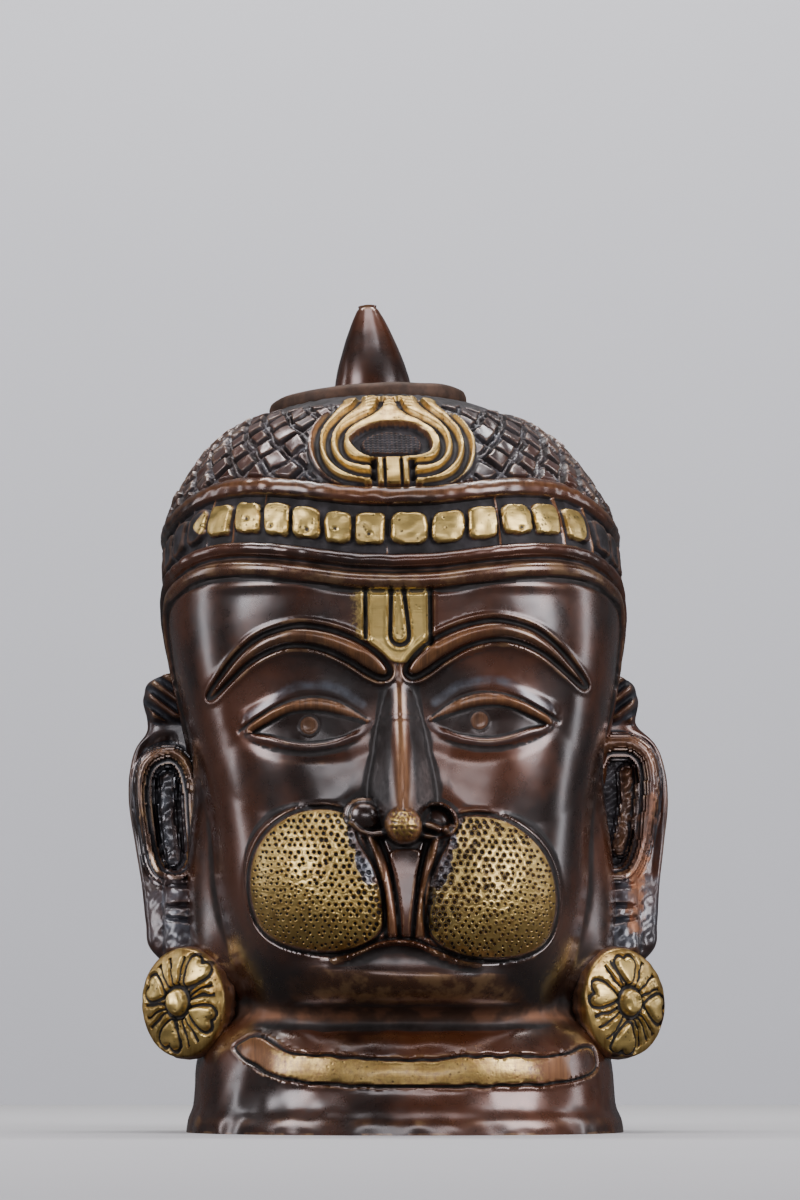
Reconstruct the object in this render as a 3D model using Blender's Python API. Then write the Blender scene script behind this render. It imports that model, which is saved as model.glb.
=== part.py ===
"""Cast brass mask of Hanuman: a hollow head on its own neck, open at the back, cast as one piece.

The face looks towards -Y, +X is to the viewer's right, +Z is up, and the origin is on the floor
under the middle of the mask's length. The carving is laid out in parts of the mask's height.
"""

import math

import bmesh
import bpy
import numpy as np
from mathutils import Matrix, Vector

# Driving dimensions, in metres
HEIGHT = 0.3055  # floor to the tip of the finial
WALL = 0.0045  # the cast shell
BACK_RIM = 0.040  # the flat rim of the open back, behind the crown's axis
ROSETTE_RADIUS = 0.0203  # the flower on each ear ring
ROSETTE_THICKNESS = 0.0075
CAP_RADIUS = 0.0368  # the round plate on top of the dome
CAP_THICKNESS = 0.0060
FINIAL_RADIUS = 0.0146  # at its foot
EAR_THICKNESS = 0.0130

PARTS_HIGH = 305.5
PART = HEIGHT / PARTS_HIGH  # one part of the height: every proportion below is in these
FOOT_SHIFT = 1.7  # the foot sits a little to the right
LEAN, BOW = -0.0105, -0.000065  # and the casting leans and bows to the left as it rises
CAP_SHIFT = -6.1  # the plate sits left of the crown's middle
CAP_TILT = math.radians(-3.8)
FINIAL_SHIFT = 2.1  # and the finial right of the plate's middle

# The outline of the head: height, half width, depth in front of the axis, squareness
HEAD_STATIONS = (
    (-6, 79.0, 82.0, 2.3),
    (0, 79.0, 82.0, 2.3),
    (4, 78.6, 81.6, 2.3),
    (9, 76.6, 79.0, 2.3),
    (15, 76.0, 77.4, 2.3),
    (22, 75.5, 77.4, 2.3),
    (29, 74.2, 75.4, 2.3),
    (34.5, 72.0, 71.0, 2.3),
    (38.5, 68.5, 66.0, 2.4),
    (42, 63.5, 68.0, 2.4),
    (45.5, 60.0, 74.0, 2.5),
    (51, 60.0, 78.5, 2.6),
    (60, 63.0, 80.0, 2.8),
    (75, 66.5, 79.8, 3.0),
    (88, 68.0, 79.2, 3.2),
    (102, 68.3, 79.0, 3.3),
    (118, 70.0, 79.0, 3.3),
    (134, 73.5, 79.6, 3.2),
    (147, 76.5, 80.8, 3.1),
    (160, 79.2, 82.4, 3.0),
    (172, 81.3, 83.8, 2.9),
    (183, 83.2, 85.4, 2.7),
    (194, 83.8, 87.0, 2.5),
    (205, 83.6, 87.6, 2.3),
    (216, 82.8, 86.8, 2.2),
    (225, 80.4, 84.6, 2.1),
    (233, 76.8, 80.8, 2.05),
    (241, 71.8, 75.6, 2.0),
    (248.5, 65.6, 69.2, 2.0),
    (255, 57.8, 61.4, 2.0),
    (260.5, 48.6, 52.0, 2.0),
    (265, 38.0, 41.0, 2.0),
    (267.5, 29.0, 31.0, 2.0),
)
# The sides of the head behind the face: height, half width, depth
SIDE_STATIONS = (
    (-6, 60, 30),
    (30, 68, 40),
    (44, 73.5, 47),
    (150, 74.5, 48),
    (168, 76, 50),
    (190, 78, 50),
    (230, 60, 40),
    (268, 20, 20),
)
SIDE_SQUARENESS = 2.6
SIDE_TOP = 225.0  # above this the head is the dome alone
BACK_DEPTH = 82.0  # the unseen back of the rounded form, where it is BACK_WIDTH to each side
BACK_WIDTH = 76.0
BACK_SQUARENESS = 2.3
DOME_TOP = 267.5
CAP_TOP = 269.6
FINIAL_OUTLINE = (
    (0, 1.0),
    (0.16, 0.93),
    (0.34, 0.82),
    (0.53, 0.67),
    (0.71, 0.51),
    (0.86, 0.35),
    (0.95, 0.22),
    (0.99, 0.1),
)
TURNED_SIDES = 24

# Where the head band runs: degrees from the front, height of its middle
BAND_LINE = (
    (0, 209),
    (10, 209.7),
    (20, 212),
    (30, 214.2),
    (42, 215.4),
    (51, 214.6),
    (60, 212),
    (70, 208.6),
    (80, 206),
    (90, 204),
    (105, 202),
    (130, 201),
    (180, 201),
)
BAND_TABLETS = 40
TABLET_SHARE = 0.43  # half a tablet, as a share of the pitch
TABLET_HALF_HEIGHT = 5.4
ARCH_START = 66.0  # from here the lower rims turn down in front of the ears
ARCH_END = 84.0
ARCH_DROP = 24.0
BAND_TOP = 14.6  # the top edge of its upper rim, above its middle
NET_CELLS = 36  # the cast net's meshes round the dome
NET_PITCH = 13.0
NET_START, NET_END = 213.0, 264.5  # the rows of its meshes run from under the band to the plate
NET_FADE = (256.0, 262.0)  # the studs sink away under the plate
MOTIF_MIDDLE = (0.4, 247.6)
MOTIF_SIZE = (29.5, 25.0)
MOTIF_SIDES = 28
# Its nested strands and the seed in their middle: share of its size, how far out
MOTIF_RINGS = (
    (1.0, -3.0),
    (1.0, 1.4),
    (0.86, 0.6),
    (0.78, 2.1),
    (0.69, 0.7),
    (0.6, 2.3),
    (0.47, 2.2),
    (0.4, 0.7),
    (0.3, 2.0),
)

GRID_COLUMNS = 210
GRID_ROWS = 150
HEAD_TOP = 233.0  # where the sculpted grid ends, inside the dome
HEAD_SHARE = 0.042  # how much of the sculpted grid the solid keeps
CORE_COLUMNS, CORE_ROWS = 24, 14
BURIED = 3.0  # how far a joined form reaches into what carries it


def smooth_through(points, at):
    """A smooth curve through (position, value) points, read at an array of positions."""
    xs, ys = np.array(points, float).T
    slopes = np.gradient(ys, xs)
    at = np.clip(at, xs[0], xs[-1])
    i = np.clip(np.searchsorted(xs, at) - 1, 0, len(xs) - 2)
    gap = xs[i + 1] - xs[i]
    t = (at - xs[i]) / gap
    return (
        ys[i] * (1 + 2 * t) * (1 - t) ** 2
        + slopes[i] * gap * t * (1 - t) ** 2
        + ys[i + 1] * t * t * (3 - 2 * t)
        + slopes[i + 1] * gap * t * t * (t - 1)
    )


def step(low, high, value):
    """0 below low, 1 above high, and a smooth rise between."""
    t = np.clip((value - low) / (high - low), 0, 1)
    return t * t * (3 - 2 * t)


def ridge(distance, half_width):
    """A rounded ridge, 1 on its line and 0 past half its width."""
    return np.clip(1 - (distance / half_width) ** 2, 0, 1)


def swell(across, up, power=1.0):
    """A dome over an ellipse, given distances as shares of its half axes."""
    return np.clip(1 - across**2 - up**2, 0, 1) ** power


def larger(a, b, softness):
    """The larger of two forms, blended where they meet."""
    return 0.5 * (a + b + np.sqrt((a - b) ** 2 + softness**2))


# The head's own form


def profile_lengths():
    """How far each station lies along the front profile."""
    rows = np.array(HEAD_STATIONS, float)
    return np.concatenate([[0], np.cumsum(np.hypot(np.diff(rows[:, 0]), np.diff(rows[:, 2])))])


LENGTHS = profile_lengths()


def station(column, along):
    return smooth_through(np.column_stack([LENGTHS, np.array(HEAD_STATIONS, float)[:, column]]), along)


def side(column, height):
    return smooth_through([(row[0], row[column]) for row in SIDE_STATIONS], height)


def radius_of(angle, half_width, depth, squareness):
    """How far the outline lies from the axis, in the direction of an angle from the front."""
    across, forward = np.abs(np.sin(angle)), np.cos(angle)
    front = (across / half_width) ** squareness + (np.abs(forward) / depth) ** squareness
    behind = np.abs(forward) / BACK_DEPTH * BACK_WIDTH / half_width
    back = (across / half_width) ** BACK_SQUARENESS + behind**BACK_SQUARENESS
    return np.where(forward >= 0, front ** (-1 / squareness), back ** (-1 / BACK_SQUARENESS))


def head_point(angle, along, inset=0.0):
    """A point of the smooth head, or of the same form inset by a wall."""
    angle, along = np.broadcast_arrays(angle, along)
    height = station(0, along)
    face = radius_of(angle, station(1, along), station(2, along), station(3, along))
    sides = radius_of(angle, side(1, height), side(2, height), SIDE_SQUARENESS)
    radius = np.where(height < SIDE_TOP, larger(face, sides, 2.5), face) - inset
    return np.stack([radius * np.sin(angle), -radius * np.cos(angle), height], axis=-1)


def head_normal(angle, along):
    """The direction that faces out of the smooth head."""
    turn, climb = 0.01, 0.6
    across = head_point(angle + turn, along) - head_point(angle - turn, along)
    up = head_point(angle, np.minimum(along + climb, LENGTHS[-1])) - head_point(angle, along - climb)
    normal = np.cross(across, up)
    return normal / np.linalg.norm(normal, axis=-1, keepdims=True)


# The carving of the face, as parts forward of the smooth head

NOSE_RIDGE = (
    (94, 0),
    (97, 5),
    (99.5, 12),
    (102, 21),
    (105, 24.5),
    (109, 23.6),
    (116, 19.5),
    (125, 14.6),
    (134, 10.2),
    (143, 6.4),
    (151, 4.2),
    (158, 2.2),
    (165, 0),
)
NOSE_WIDTH = (
    (94, 6),
    (99, 7.5),
    (104, 9.5),
    (110, 12.4),
    (118, 12.0),
    (130, 9.8),
    (143, 6.8),
    (151, 5.0),
    (165, 3.6),
)
BROW_LINE = (
    (3.6, 159.4),
    (11, 164.6),
    (20, 170.0),
    (29, 173.6),
    (38, 174.8),
    (47.5, 172.0),
    (56.5, 166.0),
    (64, 160.0),
    (69, 155.5),
)
LID_TOP = ((13.6, 143.2), (20, 146.0), (31, 147.6), (42, 146.4), (52.6, 143.0))
LID_BOTTOM = ((13.6, 143.2), (20, 139.6), (31, 137.4), (42, 138.8), (52.6, 143.0))
LID_CREASE = ((11.5, 145.6), (20, 150.6), (30, 153.0), (42, 150.6), (54.5, 143.6))
POUCH_MIDDLE = (30.8, 86.6)
POUCH_SIZE = (24.4, 25.6)
PHILTRUM = ((66, 3.4), (99, 6.4))
IRIS = (29.6, 142.4)


def nose(across, height):
    """The ridge, the ball of the tip and the two wings."""
    share = across / smooth_through(NOSE_WIDTH, height)
    bridge = smooth_through(NOSE_RIDGE, height) * np.clip(1 - np.abs(share) ** 1.7, 0, 1)
    tip = 18.5 + 7.4 * np.sqrt(swell(across / 6.6, (height - 106) / 6.2))
    tip = np.where(np.hypot(across / 6.6, (height - 106) / 6.2) < 1, tip, 0)
    wing_across, wing_up = (across - 12.2) / 5.6, (height - 109.4) / 5.8
    wing = np.where(np.hypot(wing_across, wing_up) < 1, 7 + 8.5 * np.sqrt(swell(wing_across, wing_up)), 0)
    return np.maximum(np.maximum(bridge, tip), wing)


def muzzle(across, height):
    """The broad mass of the mouth, the two stippled pouches and the strip between them."""
    mass = 9.0 * np.exp(-((across / 47) ** 2 + ((height - 84) / 27) ** 2) ** 1.6)
    out, up = (across - POUCH_MIDDLE[0]) / POUCH_SIZE[0], (height - POUCH_MIDDLE[1]) / POUCH_SIZE[1]
    reach = (np.abs(out) ** 2.3 + np.abs(up) ** 2.3) ** (1 / 2.3)
    pouch = 7.6 * np.clip(1 - reach**2.6, 0, 1) ** 0.62
    border = -1.0 * ridge(reach - 1.03, 0.05)
    half = smooth_through(PHILTRUM, height)
    between = step(64, 68, height) * (1 - step(98, 103, height))
    bars = 3.4 * (1 - step(half - 0.4, half + 0.9, across)) - 1.6 * ridge(across - half - 2.0, 1.6)
    return mass + pouch + border + between * bars


def eye(across, height):
    """The socket, the ball, both lids and the iris."""
    socket = -4.6 * swell((across - 29) / 33, (height - 149) / 21, 1.4)
    socket = socket - 3.2 * swell((across - 13) / 9, (height - 152) / 15, 1.2)
    ball = 3.6 * swell((across - 32) / 23, (height - 144) / 11.5, 0.8)
    inside = (across > 13.6) & (across < 52.6)
    top, bottom = smooth_through(LID_TOP, across), smooth_through(LID_BOTTOM, across)
    crease = smooth_through(LID_CREASE, across)
    opening = np.where(inside, -1.5 * step(0, 0.8, np.minimum(top - height, height - bottom)), 0)
    lid = 1.5 * ridge(height - 0.5 * (top + crease), 0.5 * (crease - top) + 0.8)
    lid = np.where((across > 11) & (across < 55), lid, 0)
    fold = np.where((across > 12) & (across < 54), 1.0 * ridge(height - crease - 4.6, 3.2), 0)
    lower = np.where(inside, 0.7 * ridge(height - bottom + 1.6, 1.5), 0)
    iris = 0.9 * ridge(np.hypot(across - IRIS[0], height - IRIS[1]), 2.9)
    return socket + ball + opening + lid + fold + lower + iris


def brow(across, height):
    """A raised brow between two cut lines."""
    off = height - smooth_through(BROW_LINE, across)
    half = 2.9 - 1.7 * step(40, 69, across)
    there = step(2.6, 4.4, across) * (1 - step(67, 70, across))
    return there * (1.7 * ridge(off, half) - 0.9 * ridge(np.abs(off) - half - 0.7, 0.9))


def forehead_mark(across, height):
    """The U-shaped mark between the brows, with the drop inside it."""
    plate = 0.9 * (1 - step(10.6, 11.4, across)) * step(163 + 0.4 * across, 165 + 0.4 * across, height)
    drop = np.hypot(across, np.minimum(height - 171.5, 0) * 0.9)
    return plate - 0.9 * ridge(drop - 3.6, 1.1) * step(160, 163, height)


def mouth(across, height):
    """The lip under the strip, the hollow below it and the chin."""
    lip = 2.2 * ridge(height - 65.6 + (across / 8.5) ** 2, 2.2) * (1 - step(10, 15, across))
    hollow = -1.6 * swell(across / 40, (height - 61) / 6)
    chin = 4.2 * swell(across / 46, (height - 50.5) / 13, 1.2)
    return lip + hollow + chin


def face_relief(across, height):
    """Everything carved on the face, forward of the smooth head."""
    out = np.abs(across)
    cheek = 2.0 * swell((out - 40) / 24, (height - 126) / 17)
    low = muzzle(out, height) + mouth(out, height) + cheek + eye(out, height)
    carved = larger(nose(out, height) - 1.0, low, 2.0) - 1.0
    return carved + brow(out, height) + forehead_mark(out, height)


# The carving of the crown and neck, as parts out from the smooth head


def band_relief(angle, height):
    """The head band: two rims with a bed between, and a third rim that frames the face."""
    turn = np.abs(np.degrees(angle))
    middle = smooth_through(BAND_LINE, turn)
    off = height - middle
    drop = np.clip((turn - ARCH_START) / (ARCH_END - ARCH_START), 0, None)
    slope = 1 / np.sqrt(1 + (2.2 * np.clip(drop, 0, 1)) ** 2)
    low = (height - middle + ARCH_DROP * np.minimum(drop, 1.3) ** 2 + 9) * slope - 9
    bed = -1.0 * step(-9.2, -8.2, off) * (1 - step(8.2, 9.2, off))
    upper = 1.9 * ridge(off - 12.0, 3.3)
    lower = 1.9 * ridge(low + 11.0, 2.2)
    frame = 1.7 * ridge(low + 18.2, 2.5) - 1.1 * ridge(low + 14.6, 1.5)
    return bed + upper + lower + frame


def crown_relief(angle, along):
    """The band; above it the sculpted grid dives under the dome."""
    height = station(0, along)
    above = height - smooth_through(BAND_LINE, np.abs(np.degrees(angle)))
    return band_relief(angle, height) - BURIED * step(BAND_TOP - 0.4, BAND_TOP + 1.2, above)


def neck_relief(angle, along):
    """The necklace: a flat band between two cut lines, low at the front."""
    height = station(0, along)
    turn = np.abs(angle)
    middle = 21.6 + 12.5 * np.clip(turn / 1.35, 0, 1) ** 3
    off = height - middle
    there = 1 - step(1.3, 1.45, turn)
    return there * (0.7 * (1 - step(4.4, 5.0, np.abs(off))) - 0.6 * ridge(np.abs(off) - 5.4, 0.8))


# Where the face's carving begins and ends
FACE_SIDE = (0.28, 0.5)  # the cosine of the direction from the front
CHIN = (41.0, 46.0)
HAIRLINE = (186.0, 190.0)


def carved_head(angle, along):
    """The head with all of its carving."""
    smooth = head_point(angle, along)
    height = smooth[..., 2]
    facing = step(*FACE_SIDE, np.cos(angle)) * step(*CHIN, height)
    forward = face_relief(smooth[..., 0], height) * facing * (1 - step(*HAIRLINE, height))
    crown = np.where(height > HAIRLINE[0] - ARCH_DROP, crown_relief(angle, along), 0)
    neck = np.where(height < CHIN[0], neck_relief(angle, along), 0)
    out = crown + neck
    point = smooth + head_normal(angle, along) * out[..., None]
    point[..., 1] -= forward
    return point


# Blender objects


def leaning(height):
    """How far the casting has moved sideways at a height."""
    return FOOT_SHIFT + LEAN * height + BOW * height**2


def placed(points):
    """The same points with the casting's lean, centred on the floor, in metres."""
    points = np.array(points, float)
    points[..., 0] += leaning(points[..., 2])
    points[..., 1] += FORWARD
    return points * PART


def along_at(height):
    """How far along the front profile a height lies."""
    return np.interp(height, station(0, LENGTHS), LENGTHS)


# The origin is under the middle of the object's length, from the tip of the nose to the back rim
FORWARD = -(carved_head(0.0, LENGTHS.max() * np.linspace(0, 1, 400))[:, 1].min() + BACK_RIM / PART) / 2


def new_object(name, mesh):
    made = bpy.data.objects.new(name, mesh)
    bpy.context.collection.objects.link(made)
    return made


def helper(made):
    """A shape that only cuts or joins, so it is no piece of its own."""
    made.hide_render = True
    made.display_type = "WIRE"
    return made


def lofted(name, rings):
    """A closed solid through a stack of rings, each an array of points in metres."""
    rings = np.asarray(rings)
    rows, columns = rings.shape[:2]
    bm = bmesh.new()
    loops = [[bm.verts.new(point) for point in ring] for ring in rings]
    for lower, upper in zip(loops, loops[1:]):
        for i in range(columns):
            j = (i + 1) % columns
            bm.faces.new((lower[i], lower[j], upper[j], upper[i]))
    bm.faces.new(reversed(loops[0]))
    bm.faces.new(loops[-1])
    bmesh.ops.triangulate(bm, faces=[f for f in bm.faces if len(f.verts) > 4])
    bmesh.ops.recalc_face_normals(bm, faces=bm.faces)
    mesh = bpy.data.meshes.new(name)
    bm.to_mesh(mesh)
    bm.free()
    return new_object(name, mesh)


def spaced_angles(count, front_share):
    """Angles right round from the back, closer together over the front of the face."""
    front = math.radians(68)
    n_front = int(count * front_share)
    n_side = (count - n_front) // 2
    side_angles = math.pi - (math.pi - front) * np.linspace(0, 1, n_side, endpoint=False) ** 0.75
    return np.concatenate([-side_angles, np.linspace(-front, front, n_front), side_angles[::-1][:-1]])


def sculpted_head():
    """The outside of the head up to the band, with the finest grid where the carving is."""
    angles = spaced_angles(GRID_COLUMNS, 0.62)
    along = np.linspace(0, along_at(HEAD_TOP), GRID_ROWS)
    rings = placed(carved_head(angles[None, :], along[:, None]))
    head = lofted("hanuman_mask", rings)
    thin = head.modifiers.new("Carving to solid", "DECIMATE")
    thin.ratio = HEAD_SHARE
    return head


def raised(angle, along, out):
    """Points a distance out from the smooth head."""
    return head_point(angle, along) + head_normal(angle, along) * np.asarray(out)[..., None]


def dome():
    """The dome over the band, with its cast net: a raised stud in each mesh, a groove round it."""
    angles = np.linspace(-math.pi, math.pi, 2 * NET_CELLS, endpoint=False)
    start, end = along_at(NET_START), along_at(NET_END)
    rows = round((end - start) / NET_PITCH * 2)
    along = np.linspace(start, end, rows + 1)
    stud = (np.arange(rows + 1)[:, None] + np.arange(2 * NET_CELLS)[None, :]) % 2
    height = station(0, along)[:, None]
    above = height - smooth_through(BAND_LINE, np.abs(np.degrees(angles)))[None, :]
    relief = (2.4 * stud - 1.5) * (1 - step(*NET_FADE, height))
    relief = np.where(above > BAND_TOP - 1.0, relief, -0.8 * BURIED)
    grid = raised(angles[None, :], along[:, None], relief)
    crest = head_point(angles, LENGTHS[-1])
    made = bpy.data.meshes.new("dome")
    bm = bmesh.new()
    rings = placed(np.concatenate([grid, crest[None]]))
    loops = [[bm.verts.new(point) for point in ring] for ring in rings]
    for row, (lower, upper) in enumerate(zip(loops, loops[1:])):
        for i in range(2 * NET_CELLS):
            j = (i + 1) % (2 * NET_CELLS)
            if (row + i) % 2:
                bm.faces.new((lower[i], lower[j], upper[i]))
                bm.faces.new((lower[j], upper[j], upper[i]))
            else:
                bm.faces.new((lower[i], lower[j], upper[j]))
                bm.faces.new((lower[i], upper[j], upper[i]))
    bm.faces.new(reversed(loops[0]))
    bm.faces.new(loops[-1])
    bmesh.ops.triangulate(bm, faces=[f for f in bm.faces if len(f.verts) > 4])
    bmesh.ops.recalc_face_normals(bm, faces=bm.faces)
    bm.to_mesh(made)
    bm.free()
    return helper(new_object("dome", made))


def motif():
    """The lotus mark on the front of the dome: nested strands round an oval seed."""
    turns = np.linspace(0, 2 * math.pi, MOTIF_SIDES, endpoint=False)
    points = []
    for share, out in MOTIF_RINGS:
        across = MOTIF_MIDDLE[0] + share * MOTIF_SIZE[0] * np.cos(turns)
        along = along_at(MOTIF_MIDDLE[1]) + share * MOTIF_SIZE[1] * np.sin(turns)
        angle = np.arcsin(np.clip(across / station(1, along), -0.9, 0.9))
        points.append(raised(angle, along, out * np.ones(len(turns))))
    return helper(lofted("motif", placed(np.array(points))))


def tablets():
    """The row of raised tablets in the band's bed, as one shape."""
    pitch = 2 * math.pi / BAND_TABLETS
    corners = (np.arange(4) + 0.5) * math.pi / 2
    turns = (corners[:, None] + np.array([-0.25, 0.25])[None, :]).ravel()
    reach = 1 / np.maximum(np.abs(np.cos(turns)), np.abs(np.sin(turns)))
    solids = []
    for place in range(-BAND_TABLETS // 2, BAND_TABLETS // 2):
        middle = place * pitch
        level = along_at(smooth_through(BAND_LINE, np.abs(np.degrees([middle]))))
        rings = []
        for share, out in ((1.0, -BURIED), (1.0, 0.7), (0.84, 1.5)):
            angle = middle + share * TABLET_SHARE * pitch * reach * np.cos(turns)
            along = level + share * TABLET_HALF_HEIGHT * reach * np.sin(turns)
            rings.append(raised(angle, along, out * np.ones(8)))
        solids.append(lofted("tablet", placed(np.array(rings))))
    return helper(joined("tablets", solids))


def joined(name, solids):
    """Several closed solids that don't touch, as one object."""
    bm = bmesh.new()
    for solid in solids:
        bm.from_mesh(solid.data)
        bpy.data.objects.remove(solid)
    mesh = bpy.data.meshes.new(name)
    bm.to_mesh(mesh)
    bm.free()
    return new_object(name, mesh)


def core():
    """The hollow inside: the smooth head inset by the wall, fuller behind the muzzle."""
    wall = WALL / PART
    angles = np.linspace(-math.pi, math.pi, CORE_COLUMNS, endpoint=False)
    along = np.linspace(0, along_at(DOME_TOP - 4), CORE_ROWS)
    points = head_point(angles[None, :], along[:, None] * np.ones(CORE_COLUMNS)[None, :], wall + 1.2)
    height = points[..., 2]
    mass = 6.5 * np.exp(-((points[..., 0] / 40) ** 2 + ((height - 86) / 24) ** 2) ** 1.6)
    points[..., 1] -= mass * step(0.3, 0.6, np.cos(angles))[None, :]
    points[..., 2] -= wall * step(150, DOME_TOP, height) + 2.0 * step(-6, -5, -height)
    return helper(lofted("core", placed(points)))


EAR_EDGE = (
    (60, 86),
    (66, 91.5),
    (75, 93.0),
    (89, 94.6),
    (104, 97.0),
    (122, 99.2),
    (131, 98.6),
    (141, 95.4),
    (147, 90.6),
    (159, 91.0),
    (165, 87.5),
    (168, 80),
)
EAR_BOTTOM, EAR_TOP = 60.5, 167.8
EAR_ROOT = 66.0
EAR_FRONT = -4.0
LOBE_FORWARD = 12.0  # the lobe comes forward to carry the ear ring
EAR_TUFT_OUT = 1.8  # the left tuft stands out further than the right
TUFT = (149.0, 169.0)
STRAP_MIDDLE = 82.5  # the strap that the ear ring hangs on
HELIX_MIDDLE = (79.5, 117.0)
HELIX_SIZE = (12.0, 27.0)
HOLLOW_MIDDLE = (80.3, 115.5)
HOLLOW_SIZE = (7.0, 20.5)


def ear_relief(x, height):
    """How far the front of an ear stands forward: helix, hollow, inner ridge, lobe and tuft."""
    ring, hollow = (
        np.hypot((x - middle[0]) / size[0], (height - middle[1]) / size[1])
        for middle, size in ((HELIX_MIDDLE, HELIX_SIZE), (HOLLOW_MIDDLE, HOLLOW_SIZE))
    )
    helix = 8.5 * ridge(ring - 0.9, 0.34) ** 0.6 * step(88, 96, height)
    scoop = -9.0 * (1 - step(0.72, 1.02, hollow))
    tongue = 5.0 * ridge(x - 82.0, 3.0) * step(101, 105, height) * (1 - step(127, 131, height))
    strap = 6.0 * ridge(x - STRAP_MIDDLE, 7.0) ** 0.5 * (1 - step(92, 97, height)) * step(62, 66, height)
    notch = -2.0 * (ridge(height - 89.5, 1.5) + ridge(height - 83.5, 1.5)) * ridge(x - STRAP_MIDDLE, 7.0)
    locks = 4.5 + 1.8 * np.sin((height + 0.7 * x) * 2 * math.pi / 6.5)
    tuft = locks * step(TUFT[0], TUFT[0] + 3, height) * (1 - step(TUFT[1] - 4, TUFT[1], height))
    return helix + scoop + tongue * (hollow < 1) + strap + notch + tuft


def ear(name, sign):
    """One ear: a thick plate, carved in front, that stands out from the side of the head."""
    half = EAR_THICKNESS / PART / 2
    heights = np.linspace(EAR_BOTTOM, EAR_TOP, 44)
    tuft_out = EAR_TUFT_OUT if sign < 0 else -EAR_TUFT_OUT
    across = np.linspace(0, 1, 15)
    rings = []
    for height in heights:
        edge_x = smooth_through(EAR_EDGE, height) + tuft_out * step(143, 150, height)
        x = EAR_ROOT + across * (edge_x - EAR_ROOT)
        edge = np.sqrt(np.clip(1 - across**8, 0, 1))
        middle = EAR_FRONT + half - LOBE_FORWARD * (1 - step(62, 112, height))
        front = middle - half * edge - ear_relief(x, height) * step(0, 0.12, 1 - across)
        back = middle + half * edge[::-3] + 6 * (1 - across[::-3])
        ring = [(sign * a, b, height) for a, b in zip(x, front)]
        ring += [(sign * a, b + 0.6, height) for a, b in zip(x[::-3], back)]
        rings.append(ring)
    made = lofted(name, placed(rings))
    thin = made.modifiers.new("Carving to solid", "DECIMATE")
    thin.ratio = 0.25
    return helper(made)


ROSETTE_PLACE = (79.0, -27.0, 46.2)
ROSETTE_FACING = (0.62, -0.78, 0.02)
ROSETTE_DOME = 4.4  # how far its middle stands out from its rim
BOSS = 4.4


def rosette_relief(radius, angle, rim):
    """Boss, four petals and the rays between them."""
    boss = 2.4 * ridge(radius, BOSS) ** 0.6 - 1.0 * ridge(radius - BOSS - 0.8, 1.3)
    petal = np.cos(4 * angle)
    return boss + (0.9 * petal - 0.2) * step(5.5, 8, radius) * (1 - step(rim - 3.5, rim - 1, radius))


def rosette(name, sign):
    """One ear ring: a domed flower that faces forward and out, with the stub that carries it."""
    rim = ROSETTE_RADIUS / PART
    deep = ROSETTE_THICKNESS / PART
    angles = np.linspace(0, 2 * math.pi, TURNED_SIDES, endpoint=False)
    rings = [(0.5 * rim, -deep - 22), (0.75 * rim, -deep - 8), (0.95 * rim, -deep), (rim, -0.5 * deep)]
    points = [[(r * math.cos(t), r * math.sin(t), z) for t in angles] for r, z in rings]
    for share in (0.93, 0.8, 0.62, 0.4, 0.26, 0.19, 0.08):
        r = share * rim
        level = 0.5 + ROSETTE_DOME * (1 - share**2)
        out = [level + float(rosette_relief(np.array(r), t, rim)) for t in angles]
        points.append([(r * math.cos(t), r * math.sin(t), z) for t, z in zip(angles, out)])
    right, ahead, up = ROSETTE_FACING
    facing = Vector((right * sign, ahead, up)).normalized()
    middle = Matrix.Translation((ROSETTE_PLACE[0] * sign, *ROSETTE_PLACE[1:]))
    place = middle @ facing.to_track_quat("Z", "Y").to_matrix().to_4x4()
    return helper(lofted(name, placed([[tuple(place @ Vector(p)) for p in ring] for ring in points])))


def cap():
    """The round plate on the dome and the pointed finial on it, turned as one."""
    plate, foot, thick = CAP_RADIUS / PART, FINIAL_RADIUS / PART, CAP_THICKNESS / PART
    rise = PARTS_HIGH - CAP_TOP - 2.4
    profile = [(0.86 * plate, -thick - 2.5, 0), (plate, -thick, 0), (plate, -0.3 * thick, 0)]
    profile += [(0.93 * plate, 0, 0), (0.6 * plate, 0.9, 0), (foot + 1.0, 1.5, FINIAL_SHIFT)]
    for share, width in FINIAL_OUTLINE:
        profile.append((foot * width, 2.4 + rise * share, FINIAL_SHIFT))
    middle = Matrix.Translation((CAP_SHIFT + leaning(CAP_TOP), FORWARD, CAP_TOP))
    place = Matrix.Scale(PART, 4) @ middle @ Matrix.Rotation(CAP_TILT, 4, "Y")
    angles = np.linspace(0, 2 * math.pi, TURNED_SIDES, endpoint=False)
    rings = []
    for r, z, x in profile:
        ring = [Vector((x + r * math.cos(t), r * math.sin(t), z)) for t in angles]
        rings.append([tuple(place @ point) for point in ring])
    return helper(lofted("cap", rings))


def box(name, low, high):
    """A block between two corners, in metres."""
    bm = bmesh.new()
    bmesh.ops.create_cube(bm, size=1)
    size = Vector(high) - Vector(low)
    bmesh.ops.scale(bm, vec=size, verts=bm.verts)
    bmesh.ops.translate(bm, vec=Vector(low) + size / 2, verts=bm.verts)
    mesh = bpy.data.meshes.new(name)
    bm.to_mesh(mesh)
    bm.free()
    return helper(new_object(name, mesh))


def boolean(made, other, operation):
    modifier = made.modifiers.new(other.name, "BOOLEAN")
    modifier.object = other
    modifier.operation = operation


def dark_brass():
    """Brown lacquered patina."""
    material = bpy.data.materials.new("antique_brass")
    material.use_nodes = True
    shader = material.node_tree.nodes["Principled BSDF"]
    shader.inputs["Base Color"].default_value = (0.10, 0.045, 0.025, 1)
    shader.inputs["Metallic"].default_value = 0.9
    shader.inputs["Roughness"].default_value = 0.3
    return material


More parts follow.
